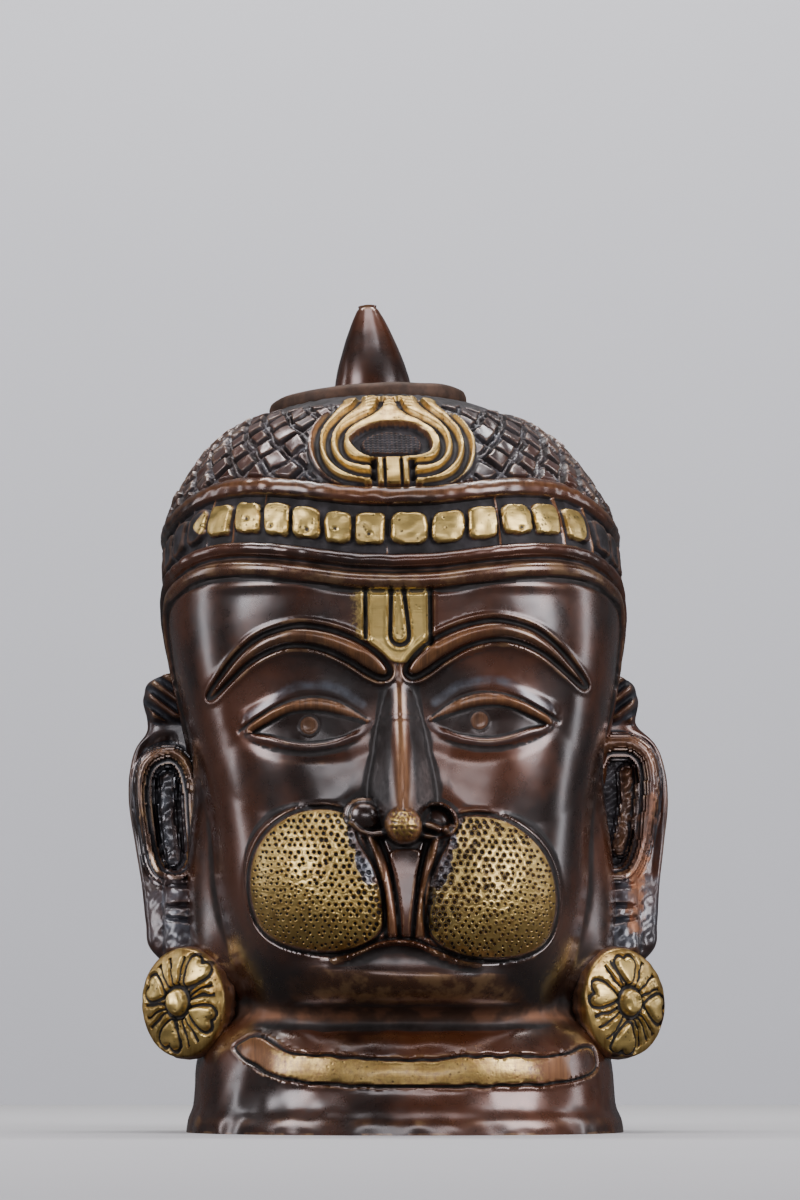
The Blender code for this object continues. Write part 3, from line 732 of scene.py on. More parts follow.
@dataclass
class ForeheadMark:
    """The gilded mark between the brows: two cut lines and a long drop."""

    left: Points = ((-10.4, 195), (-10.4, 188.6), (-10.8, 171.6))
    right: Points = ((12.1, 195), (12.0, 189.6), (11.6, 169.6))
    drop: Points = (
        (-1.3, 196), (-1.5, 188), (-2.1, 176), (-2.2, 171.9), (-1.2, 169.8), (0.9, 169.0), (3.1, 169.7),
        (4.2, 172), (3.9, 178), (3.1, 186), (2.3, 196)
    )
    plate: Points = (
        (-10.4, 198), (-10.6, 180), (-10.8, 171), (-6, 166.6), (-2.8, 163.6), (0.8, 162.6), (4.4, 163.4),
        (8, 166.6), (11.6, 169.6), (12, 184), (12.1, 198)
    )
    smear: float = 8.0  # the gold runs over the left line
    top: float = 188.6  # the rim above covers the rest

    def relief(self, x: Array, height: Array) -> tuple[Array, Array, Array]:
        """Carves the mark; gives how far forward, the gold and where it is blackened."""
        plate = Line(self.plate, closed=True).away(x, height)
        drop = Line(self.drop, closed=True).away(x, height)
        lines = np.minimum(Line(self.left).away(x, height), Line(self.right).away(x, height))
        raised = 0.5 * step(-0.4, 0.6, -plate)
        out = raised + chiselled(lines, 2.5, 1.3) + chiselled(np.abs(drop), 2.5, 1.3)
        fade = np.clip((self.left[0][0] - x) / self.smear, 0, 1.5)
        spill = np.where((fade > 0) & (height > 170.5), 0.30 - 0.75 * fade, -4)
        gold = np.where(height < self.top, np.maximum(-plate - 0.2, spill), -4)
        black = np.maximum(ridge(lines, 1.25), ridge(drop, 1.25))
        return out, gold, black


@dataclass
class Nose:
    """The ridge with its rough side planes, the tip and the two rolled wings."""

    rise: Points = (
        (94, 0), (97, 5), (99.5, 12), (102, 21), (105, 24.5), (109, 23.6), (116, 19.5), (125, 14.6),
        (134, 10.2), (143, 6.4), (151, 4.2), (158, 2.2), (165, 0),
    )
    width: Points = (
        (94, 6), (99, 7.5), (104, 9.5), (110, 12.6), (118, 12.4), (130, 10.2), (143, 7.4), (151, 5.4),
        (165, 3.6)
    )
    tip: tuple[float, float] = (0.3, 105.6)
    tip_size: tuple[float, float] = (6.4, 6.3)

    def relief(self, x: Array, height: Array) -> Carving:
        """Carves the nose, with its finish."""
        done = Carving.blank(x.shape)
        share = np.abs(x - 0.3) / smooth_through(self.width, height)
        rise = smooth_through(self.rise, height)
        crest = np.clip(1 - share**1.45, 0, 1) * rise - 0.5 * ridge(height - 143.4, 0.7) * (share < 0.7)
        ledge = 0.6 * (1 - step(0.97, 1.05, share)) * step(112, 118, height) * (1 - step(150, 157, height))
        across, up = (x - self.tip[0]) / self.tip_size[0], (height - self.tip[1]) / self.tip_size[1]
        near = np.hypot(across, up)
        crust = Unevenness(8, 1.7, 22).at(x, height)
        tip = np.where(near < 1, 18.3 + 7.4 * np.sqrt(swell(across, up)) + 0.22 * crust, 0)
        wings, hollows = self.volutes(x, height)
        done.out = np.maximum(np.maximum(crest + 0.8 * ledge, tip), wings)
        planes = step(0.27, 0.40, share) * (1 - step(0.98, 1.03, share)) * step(110, 114, height)
        done.blacken(np.maximum(0.60 * planes * (1 - step(148, 158, height)), hollows))
        done.darken(planes)
        middle = np.exp(-(((x - 0.5) / (1.3 + 0.05 * (150 - height))) ** 4))
        done.rub(middle * step(108, 113, height) * (0.85 - 0.45 * step(125, 150, height)) * (wings <= 0))
        done.gild(np.where(near < 1.3, 0.14 - 2.4 * np.clip(near - 0.6, 0, 1) + 0.45 * crust, -4))
        done.rub(np.where(near < 1.05, 0.75, 0))
        done.blacken(np.where(near < 0.9, 0.7 * step(0.5, 1.2, -crust), 0))
        return done

    def volutes(self, x: Array, height: Array) -> tuple[Array, Array]:
        """Carves the two rolled wings; gives how far forward, and where they are black."""
        side = np.where(x < 0, (-x - 12.9) / 6.9, (x - 12.2) / 6.7)
        lift = np.where(x < 0, (height - 108.7) / 6.2, (height - 108.0) / 6.3)
        reach = np.hypot(side, lift)
        outer = step(-0.55, 0.35, side + 0.5 * lift)
        body = np.where(x < 0, 5.6 * np.sqrt(swell(side / 0.97, lift / 0.97)), 2.6 * ridge(reach, 0.85))
        rim = (3.0 + 2.0 * outer) * ridge(reach - 0.93, 0.17) ** 0.6 * np.where(x < 0, 0.4 * outer, 1)
        roll = Line(((3.0, 103.4), (7.0, 103.0), (11.0, 102.6), (14.6, 103.8), (17.0, 106.2))).away(
            np.abs(x), height
        )
        curl = Line(((5.6, 106.4), (9.4, 106.2), (12.6, 105.0))).away(x, height)
        knob = np.sqrt(np.clip(1 - (np.hypot(x - 14.9, height - 104.6) / 2.3) ** 2, 0, 1))
        form = np.maximum(body, rim) - np.where(x < 0, 0.7, 1.4) * ridge(reach - 0.80, 0.11)
        form = np.maximum(form, 4.8 * ridge(roll, 1.9) ** 0.6)
        form = np.maximum(form, np.where(x > 0, np.maximum(6.2 * ridge(curl, 2.0) ** 0.6, 7.2 * knob), 0))
        there = (reach < 1.1) | (roll < 1.8)
        black = (
            0.9 * ridge(reach - 0.76, 0.16)
            + np.where(x > 0, 0.55 * (1 - step(0.6, 0.8, reach)) * (form < 3.4), 0)
        )
        black = np.where(x < 0, 0.5 * ridge(reach - 0.80, 0.10), black)
        return np.where(there, 6.6 + form, 0), np.clip(black, 0, 1) * (reach < 1.05)


@dataclass
class Pouches:
    """The two stippled, gilded pouches of the muzzle."""

    outline: Points = (
        (17.2, 108.6), (22.5, 111.2), (30.0, 111.4), (38.5, 109.0), (46.5, 103.4), (52.0, 95.4),
        (54.2, 85.6), (53.2, 75.6), (49.4, 68.2), (42.8, 63.6), (34.2, 61.4), (24.4, 61.0), (16.2, 63.0),
        (9.8, 66.8), (6.9, 72.0), (6.9, 80.0), (8.6, 88.0), (11.6, 94.4), (15.0, 100.4),
    )
    middle: tuple[float, float] = (31.0, 86.4)
    half: tuple[float, float] = (24.4, 25.4)
    swelling: float = 7.6
    dot_gap: float = 2.55
    dot_radius: float = 0.74
    dot_depth: float = 0.85
    lap: float = 1.1  # the fine piece lies this far above the coarse form under it
    back: float = 2.6  # and reaches this far into it
    front_columns: int = 176
    back_columns: int = 12
    rows: int = 200
    seed: int = 11

    def dots(self, sign: int) -> Array:
        """The stippled dots of one pouch: their places and size, closer and finer outwards and down."""
        random = np.random.default_rng(self.seed + sign)
        row, column = (index.ravel() for index in np.mgrid[-16:17, -16:17])
        across = (column + 0.5 * (row % 2)) * self.dot_gap
        up = row * self.dot_gap * 0.87
        across = np.where(across > 0, across * (1 - 0.0065 * np.clip(across, 0, 40)), across)
        up = np.where(up < 0, up * (1 + 0.0045 * np.clip(up, -40, 0)), up)
        places = np.column_stack([across, up]) + random.normal(0, 0.30, (len(row), 2)) + self.middle
        places = places[Line(self.outline, closed=True).away(places[:, 0], places[:, 1]) < -1.5]
        outer = (places[:, 0] - self.middle[0]) / self.half[0] - (places[:, 1] - self.middle[1]) / 34
        size = (
            self.dot_radius * (1.0 - 0.34 * np.clip(outer, -0.7, 1.3))
            * random.uniform(0.85, 1.15, len(places))
        )
        return np.column_stack([places, size])

    def relief(self, x: Array, height: Array, fine: bool) -> Carving:
        """Carves both pouches.

        Args:
            x: Across from the middle.
            height: The levelled height.
            fine: Whether this is the stippled surface, or the coarse form just under it.

        Returns:
            How far they stand forward, with their finish.
        """
        done = Carving.blank(x.shape)
        out = np.abs(x)
        away = Line(self.outline, closed=True).away(out, height)
        across, up = (out - self.middle[0]) / self.half[0], (height - self.middle[1]) / self.half[1]
        reach = (np.abs(across) ** 2.3 + np.abs(up) ** 2.3) ** (1 / 2.3)
        done.out = self.swelling * np.clip(1 - reach**2.6, 0, 1) ** 0.62
        done.out = done.out - 1.0 * ridge(away, 0.9) + 0.35 * ridge(away - 1.5, 0.9)
        done.blacken(0.8 * ridge(away, 0.8))
        if not fine:
            done.out = done.out - self.lap * step(0.9, 1.8, -away)
            return done
        done.out = done.out - 2.0 * (1 - step(0.35, 0.95, -away)) + 0.07 * Unevenness(12, 4.0).at(x, height)
        for sign in (-1, 1):
            dots = self.dots(sign)
            part = np.flatnonzero((away < 0) & (np.sign(x) == sign))
            for piece in np.array_split(part, max(1, len(part) // 8000)):
                gap = np.hypot(out[piece, None] - dots[:, 0], height[piece, None] - dots[:, 1])
                nearest = gap.argmin(axis=1)
                size = dots[nearest, 2]
                far = gap[np.arange(len(piece)), nearest] / size
                done.out[piece] -= self.dot_depth * (size / self.dot_radius) * ridge(far, 1.0) ** 0.75
                done.out[piece] += 0.16 * ridge(far - 1.3, 0.4)
                done.soot[piece] = np.maximum(done.soot[piece], 0.95 * (1 - step(0.60, 0.98, far)))
        shaky = 0.8 * Unevenness(13, 5.0).at(x, height)
        blue = (
            step(0.2, 1.2, -away) * (1 - step(13.5, 17.5, out + 0.26 * (90 - height) + shaky))
            * step(80, 90, height + shaky)
        )
        done.dull(0.9 * blue)
        # Painted shade: each pouch turns from gold to a darker brown towards its outer, lower side.
        worn = step(0.05, 1.15, across * 0.6 - up * 0.8 + 0.15 * shaky)
        done.gild(np.where(blue > 0.45, -1.0, np.minimum(-away - 0.9, 1.2) - 0.35 * worn))
        done.rub(np.maximum(worn, 0.8 * ridge(away + 1.2, 1.6)))
        return done

    def chord(self, level: Array) -> tuple[Array, Array]:
        """Where level lines enter and leave the outline."""
        starts = Line(self.outline, closed=True).samples()
        ends = np.roll(starts, -1, axis=0)
        climb = ends[:, 1] - starts[:, 1]
        climb = np.where(climb == 0, 1e-9, climb)
        crossing = (starts[:, 1] > level[:, None]) != (ends[:, 1] > level[:, None])
        at = starts[:, 0] + (level[:, None] - starts[:, 1]) * (ends[:, 0] - starts[:, 0]) / climb
        return np.where(crossing, at, np.inf).min(axis=1), np.where(crossing, at, -np.inf).max(axis=1)


@dataclass
class Mouth:
    """The strip under the nose between its two bars, the lip line and the chin."""

    left_bar: Points = ((-11.0, 102.8), (-8.6, 96.5), (-6.6, 89.9), (-5.2, 82.5), (-4.4, 75.1), (-4.0, 67.0))
    right_bar: Points = ((11.5, 102.4), (9.8, 96.5), (7.9, 89.1), (6.7, 81.7), (5.6, 74.3), (5.0, 67.0))
    plate: Points = (
        (-4.4, 97.0), (5.8, 97.4), (4.9, 88), (4.2, 80), (2.7, 67.2), (-1.9, 67.2), (-3.2, 80), (-3.9, 88)
    )
    lip: Points = (
        (-26, 60.6), (-20.9, 61.9), (-15.0, 64.1), (-10.5, 65.9), (-5.5, 67.0), (-0.5, 67.2), (4.0, 66.5),
        (9.4, 64.3), (14, 62.3), (19, 60.4), (26, 59.2)
    )

    def relief(self, x: Array, height: Array, level: Array) -> tuple[Array, Array]:
        """Carves the mouth; gives how far forward, and where it is blackened.

        Args:
            x: Across from the middle.
            height: The true height.
            level: The levelled height.

        Returns:
            The relief in millimetres, and the black from 0 to 1.
        """
        bars = np.minimum(Line(self.left_bar).away(x, height), Line(self.right_bar).away(x, height))
        plate = Line(self.plate, closed=True).away(x, height)
        lip = Line(self.lip)
        edge = lip.away(x, height)
        below = step(-0.3, 1.0, smooth_through(self.lip, x) - height) * (1 - step(24, 27, np.abs(x)))
        strip = 1.9 * ridge(bars, 1.7) ** 0.7 - 1.3 * ridge(bars - 2.4, 1.3) + 1.3 * step(-0.2, 0.7, -plate)
        strip = strip * step(66.5, 68.0, height) * (1 - step(101, 105, height))
        chin = 4.2 * swell(np.abs(x) / 46, (level - 50.5) / 13, 1.2)
        hollow = -1.6 * swell(np.abs(x) / 40, (level - 60.5) / 6)
        arch = 1.9 * ridge(edge - 0.6, 2.1) * below - 1.4 * ridge(edge, 1.2) * (1 - step(18, 27, np.abs(x)))
        black = 0.9 * ridge(bars - 2.4, 1.2) * step(66, 68, height) * (1 - step(100, 103, height))
        return strip + chin + hollow + arch, np.maximum(black, 0.7 * ridge(edge, 1.0))


@dataclass
class Necklace:
    """The gilded band engraved round the neck, between two cut lines."""

    outline: Points = (
        (-60, 30.0), (-54.8, 25.0), (-47.9, 21.3), (-38.2, 18.7), (-26.7, 17.5), (-9.4, 16.7), (5.9, 16.9),
        (19.3, 16.7), (34.8, 17.2), (48.6, 17.5), (58.8, 18.6), (65.6, 21.3), (67.8, 24.4), (66.4, 29.4),
        (62.3, 30.4), (57.0, 28.0), (48.8, 26.8), (36.9, 27.3), (22.3, 27.0), (9.8, 25.9), (-3.6, 25.8),
        (-18.9, 26.5), (-32.3, 27.3), (-40.1, 28.4), (-46.0, 31.4), (-52.0, 34.0),
    )

    def relief(self, x: Array, height: Array) -> tuple[Array, Array, Array]:
        """Carves the band; gives how far out, the gold and where it is blackened."""
        shaky = Unevenness(21, 9.0).at(x, height) * 0.25
        away = Line(self.outline, closed=True).away(x, height + shaky)
        out = 0.35 * step(-0.2, 0.8, -away) + chiselled(away, 1.5, 1.0)
        fading = 0.35 + 0.9 * step(38, 64, np.abs(x))
        return out, np.minimum(-away - 0.4, 0.5) - fading, 0.9 * ridge(away, 0.75)


@dataclass
class HeadBand:
    """The head band: where it runs, its rims and its bed of gilded tablets."""

    line: Points = (
        (0, 209), (10, 209.7), (20, 212), (30, 214.2), (42, 215.4), (51, 214.6), (60, 212), (70, 208.6),
        (80, 206), (90, 204), (105, 202), (130, 201), (180, 201),
    )
    radius: float = 85.0  # round the band
    top: float = 14.6  # the top edge of its upper rim, above its middle
    arch_start: float = 66.0  # from here the lower rims turn down in front of the ears
    arch_end: float = 84.0
    arch_drop: float = 24.0
    groove: float = 14.6  # below the middle, between the lower rim and the frame of the face
    tablet_height: float = 11.6
    tablet_margin: float = 0.55
    tablet_rise: float = 2.1
    # Direction and half width of each tablet across the front, in degrees
    front_tablets: Points = (
        (-62.6, 3.4), (-54.0, 3.5), (-45.0, 3.4), (-36.2, 3.3), (-28.2, 2.9), (-21.0, 3.1), (-13.5, 2.9),
        (-6.2, 3.1), (2.8, 4.0), (11.8, 3.6), (20.0, 3.2), (28.8, 3.7), (37.5, 3.6), (48.2, 4.4),
        (59.4, 4.0),
    )
    tablet_shift: float = 0.9
    side_tablets: int = 9  # round each side, evenly from there
    side_pitch: float = 8.8

    def middle(self, turn: Array) -> Array:
        """The height of the band's middle line, at degrees from the front."""
        return smooth_through(self.line, np.abs(turn))

    def drop(self, turn: Array) -> Array:
        """How far the arch has turned down, as a share."""
        return np.clip((np.abs(turn) - self.arch_start) / (self.arch_end - self.arch_start), 0, 1.3)

    def slope(self, turn: Array) -> Array:
        """What a height counts for, measured square to the turned down rims."""
        return 1 / np.sqrt(1 + (2.2 * np.clip(self.drop(turn), 0, 1)) ** 2)

    def split(self, turn: Array) -> Array:
        """The height of the groove between the crown and the face."""
        fall = self.arch_drop * self.drop(turn) ** 2
        return self.middle(turn) - 9 - fall - (self.groove - 9) / self.slope(turn)

    def rims(self, turn: Array, height: Array) -> tuple[Array, Array]:
        """Carves the rims; gives how far out, and the blackened bed and grooves."""
        off = height - self.middle(turn)
        low = (off + self.arch_drop * self.drop(turn) ** 2 + 9) * self.slope(turn) - 9
        bed = -1.5 * step(-9.3, -8.5, off) * (1 - step(8.5, 9.3, off))
        upper = 1.9 * ridge(off - 12.0, 3.4) ** 0.8
        lower = 1.9 * ridge(low + 11.0, 2.4) ** 0.8
        face_frame = 1.7 * ridge(low + 18.2, 2.9) ** 0.8 - 1.4 * ridge(low + self.groove, 1.4)
        inner = -0.8 * ridge(low + 21.8, 1.1)
        black = step(-9.4, -8.4, off) * (1 - step(8.4, 9.4, off))
        black = np.maximum(black, ridge(low + self.groove, 1.5))
        black = np.maximum(black, 0.6 * ridge(low + 21.8, 1.0))
        return bed + upper + lower + face_frame + inner, black

    def all_tablets(self) -> Array:
        """The direction and half width of every tablet, in degrees."""
        left, right = self.front_tablets[0][0], self.front_tablets[-1][0]
        steps = self.side_pitch * np.arange(1, self.side_tablets + 1)
        half = np.full(self.side_tablets, 0.41 * self.side_pitch)
        sides = [np.column_stack([left - steps, half]), np.column_stack([right + steps, half])]
        return np.concatenate([np.array(self.front_tablets), *sides])

    def tablets(self, turn: Array, height: Array) -> tuple[Array, Array, Array]:
        """Carves the tablets; gives how far out, the gold and the thin ridges between them."""
        placed = self.all_tablets()
        number = np.zeros(turn.shape)
        nearest = np.full(turn.shape, np.inf)
        middle, half_wide = np.zeros(turn.shape), np.ones(turn.shape)
        for index, (direction, half) in enumerate(placed + np.array([self.tablet_shift, 0])):
            off = np.abs(turn - direction) / half
            closer = off < nearest
            nearest = np.where(closer, off, nearest)
            number = np.where(closer, index, number)
            middle = np.where(closer, direction, middle)
            half_wide = np.where(closer, np.radians(half) * self.radius + self.tablet_margin, half_wide)
        across = np.radians(turn - middle) * self.radius
        up = height - self.middle(turn) + 0.5 * (spread(number, 4) - 0.5)
        half_high = self.tablet_height / 2 + 0.5 * (spread(number, 2) - 0.5)
        across = across + up * 0.12 * (spread(number, 5) - 0.5)
        up = up + across * 0.12 * (spread(number, 6) - 0.5)
        squareness = 3.4 + 2.6 * spread(number, 7)
        share = (np.abs(across / half_wide) ** squareness + np.abs(up / half_high) ** squareness) ** (
            1 / squareness
        )
        away = (share - 1) * np.minimum(half_wide, half_high)
        away = away + 0.12 * Unevenness(31, 4.5).at(across + 20 * number, up)
        face = self.tablet_rise + 0.30 * np.clip(1 - share**2, 0, 1) + 0.25 * (spread(number, 8) - 0.5)
        face = face + 0.06 * Unevenness(32, 5.0).at(across + 20 * number, up)
        pit = np.hypot(across - 5 * (spread(number, 9) - 0.5), up + 4 * spread(number, 10))
        face = face - 0.8 * ridge(pit, 1.0) * (spread(number, 11) > 0.5)
        dividers = step(0.5, 1.0, np.abs(across) - half_wide)
        bare = 6.0 * step(49, 55, np.abs(turn))
        return face * step(-0.2, 0.7, -away) + 0.9 * dividers, -away - 0.2 - bare, dividers


class Side(Enum):
    """Which side of the mask a piece is on, as seen by the viewer."""

    LEFT = -1
    RIGHT = 1


@dataclass
class FaceAndNeck:
    """The carved face, the neck below it and the smooth sides, hollow behind."""

    band: HeadBand
    tilt: Tilt = field(default_factory=Tilt)
    eyes: Eyes = field(default_factory=Eyes)
    brows: Brows = field(default_factory=Brows)
    mark: ForeheadMark = field(default_factory=ForeheadMark)
    nose: Nose = field(default_factory=Nose)
    pouches: Pouches = field(default_factory=Pouches)
    mouth: Mouth = field(default_factory=Mouth)
    necklace: Necklace = field(default_factory=Necklace)
    gap: float = 0.95  # between rows, before the carved areas are divided again
    blend_from: float = 160.0  # above this the rows start to follow the band
    tuck: float = 1.2  # how far the face reaches up behind the crown

    def carve(self, x: Array, height: Array, angle: Array, fine: bool = False) -> tuple[Array, Carving]:
        """Carves the face forward of the smooth head.

        Args:
            x: Across from the middle.
            height: The true height.
            angle: The direction from the front.
            fine: Whether this is the stippled surface of the pouches.

        Returns:
            How far forward each place moves, and its finish.
        """
        done = Carving.blank(x.shape)
        level = self.tilt.level(x, height)
        out = np.abs(x)
        eyes = self.eyes.relief(x, level)
        brows, brow_black, brow_rubbed = self.brows.relief(x, level)
        mark, mark_gold, mark_black = self.mark.relief(x, height)
        nose = self.nose.relief(x, level)
        pouches = self.pouches.relief(x, level, fine)
        mouth, mouth_black = self.mouth.relief(x, height, level)
        mass = 9.0 * np.exp(-(((out / 47) ** 2 + ((level - 84) / 27) ** 2) ** 1.6))
        cheek = 2.0 * swell((out - 40) / 24, (level - 126) / 17)
        low = mass + pouches.out + mouth + cheek + eyes.out
        forward = larger(nose.out - 1.0, low, 1.0) - 1.0 + brows + mark
        hidden = step(-1.5, 0.5, nose.out - 1.0 - low)
        forward = forward - (1.8 * hidden if fine else 0)
        done.gild(np.where(hidden > 0.5, -4, pouches.gold))
        done.gild(mark_gold)
        done.gild(nose.gold)
        done.blacken(np.maximum(pouches.soot, mouth_black) * (1 - hidden))
        done.blacken(nose.soot * hidden)
        done.blacken(np.maximum(np.maximum(eyes.soot, brow_black), mark_black))
        bars = np.minimum(
            Line(self.mouth.left_bar).away(x, height), Line(self.mouth.right_bar).away(x, height)
        )
        done.rub(0.6 * ridge(bars, 1.6) * step(67, 70, height) * (1 - hidden))
        done.rub(np.maximum(nose.rubbed * hidden, np.maximum(pouches.rubbed, brow_rubbed)))
        done.rub(eyes.rubbed)
        done.dull(np.maximum(pouches.bloom * (1 - hidden), eyes.bloom))
        done.darken(np.maximum(eyes.deep, nose.deep * hidden))
        # Painted shade: darker under the chin, down to the neck.
        done.darken(0.85 * (1 - step(54, 66, level + 0.05 * out)) * step(38, 44, height))
        facing = step(0.28, 0.5, np.cos(angle)) * step(41, 46, height) * (1 - step(187, 191.5, height))
        done.gold = np.where((facing > 0.3) | (np.abs(x) < 14) & (height > 160), done.gold, -4)
        done.soot = done.soot * facing
        done.rubbed = done.rubbed * facing
        uneven = 0.06 * Unevenness(1, 19).at(x, height) + 0.012 * Unevenness(2, 6).at(x, height)
        return forward * facing + uneven * step(0.0, 0.4, np.cos(angle)), done

    def shape(self, name: str) -> bpy.types.Object:
        """Builds the closed, uncut form.

        Args:
            name: The piece's name.

        Returns:
            The object, with the finish marked on its points.
        """
        angles = wrapped_angles(58, 0.66, 128, 1.5, 4)
        heights = np.concatenate(
            [
                np.linspace(-6, 0, 3)[:-1],
                np.linspace(0, 34, round(34 / 1.0))[:-1],
                np.linspace(34, 62, round(28 / 1.25))[:-1],
                np.linspace(62, 116, round(54 / self.gap))[:-1],
                np.linspace(116, 134, round(18 / 1.15))[:-1],
                np.linspace(134, 196, round(62 / self.gap)),
            ]
        )
        columns, rows = len(angles) - 1, len(heights) - 1 + 2
        made = flat_grid(name, columns, rows)
        middles = face_middles(made)
        angle = np.interp(middles[:, 0], np.arange(columns + 1), angles)
        height = np.interp(middles[:, 1] - 1, np.arange(len(heights)), heights)
        x = HEAD.point(angle, HEAD.along_at(height))[:, 0]
        refine(made, self.carved_areas(x, height, angle))
        grid = read_points(made)
        angle = np.interp(grid[:, 0], np.arange(columns + 1), angles)
        row = grid[:, 1] - 1
        height = np.interp(row, np.arange(len(heights)), heights)
        turn = np.degrees(angle)
        top = self.band.split(turn) + self.tuck
        share = np.clip((height - self.blend_from) / (196 - self.blend_from), 0, 1)
        start = np.minimum(self.blend_from, top - 12)
        low_part = height * start / self.blend_from
        height = np.where(
            share > 0, start + share * (top - start),
            np.where(
                height > 62,
                np.maximum(low_part, height - (self.blend_from - start) * step(62, 160, height)), height
            )
        )
        along = HEAD.along_at(height)
        smooth = HEAD.point(angle, along)
        forward, done = self.carve(smooth[:, 0], height, angle)
        neck, neck_gold, neck_black = self.necklace.relief(smooth[:, 0], height)
        done.rub(
            np.where(height < 33, 0.55 + 0.4 * step(35, 60, np.abs(smooth[:, 0])), 0) * (neck_gold > -0.6)
        )
        is_neck = (height < 40) & (np.cos(angle) > 0.1)
        done.gild(np.where(is_neck, neck_gold, -4))
        done.blacken(np.where(is_neck, neck_black, 0))
        rims, rim_black = self.band.rims(turn, height)
        is_frame = height > 120
        done.blacken(np.where(is_frame, rim_black, 0))
        under = height - self.band.split(turn)
        out = np.where(is_neck, neck, 0) + np.where(is_frame, rims, 0) - BURIED * step(0.1, 0.9, under)
        out = out + 0.12 * Unevenness(3, 11).at(smooth[:, 0], smooth[:, 1], height) * (height < 42)
        out = (
            out + 0.12 * Unevenness(4, 8).at(smooth[:, 0], smooth[:, 1], height) * (1 - step(0.5, 4, height))
        )
        done.roughen(0.8 * (1 - step(40, 47, height)) * step(38, 41, height))
        points = smooth + HEAD.normal(angle, along) * out[:, None]
        points[:, 1] -= forward
        gather(points, row < -0.5)
        gather(points, row > len(heights) - 0.5)
        write_points(made, HEAD.placed(points))
        for mark, values in done.marks().items():
            write_mark(made, mark, values)
        close_up(made)
        return made

    def pouch(self, name: str, side: Side) -> bpy.types.Object:
        """Builds the stippled surface of one pouch, as a closed plate let into the face."""
        made = flat_grid(name, self.pouches.front_columns + self.pouches.back_columns, self.pouches.rows)
        grid = read_points(made)
        front, back, rows = self.pouches.front_columns, self.pouches.back_columns, self.pouches.rows
        share = grid[:, 0] % (front + back)  # the last column closes onto the first
        is_front = share <= front
        across = np.where(is_front, share / front, (front + back - share) / back)
        drawn = Line(self.pouches.outline, closed=True).samples()
        low, high = drawn[:, 1].min() + 0.25, drawn[:, 1].max() - 0.25
        level = low + (high - low) * grid[:, 1] / rows
        near, far = self.pouches.chord(level)
        across = np.where((grid[:, 1] < 0.5) | (grid[:, 1] > rows - 0.5), 0.5, across)
        x = side.value * (near + across * (far - near))
        height = self.tilt.height(x, level)
        angle = HEAD.angle_at(x, height)
        points = HEAD.point(angle, HEAD.along_at(height))
        forward, done = self.carve(x, height, angle, fine=True)
        buried = np.where(is_front, 0, self.pouches.back)
        points[:, 1] -= forward - buried
        write_points(made, HEAD.placed(points))
        for mark, values in done.marks().items():
            write_mark(made, mark, values)
        close_up(made)
        return made

    def carved_areas(self, x: Array, height: Array, angle: Array) -> Array:
        """Chooses the places with fine carving, where the grid is divided again."""
        level = self.tilt.level(x, height)
        out = np.abs(x)
        fine = np.abs(Line(self.pouches.outline, closed=True).away(out, level)) < 2.0
        fine |= Line(self.brows.outline, closed=True).away(out, level) < 2.8
        fine |= (np.hypot((out - 32) / 24, (level - 145) / 11.5) < 1) | (out < 19) & (level > 64) & (
            level < 117
        )
        fine |= (x > -14) & (x < 14.5) & (height > 160) & (height < 189)
        fine |= (np.abs(Line(self.necklace.outline, closed=True).away(x, height)) < 1.5) & (height < 40)
        return fine & (np.cos(angle) > 0.2)


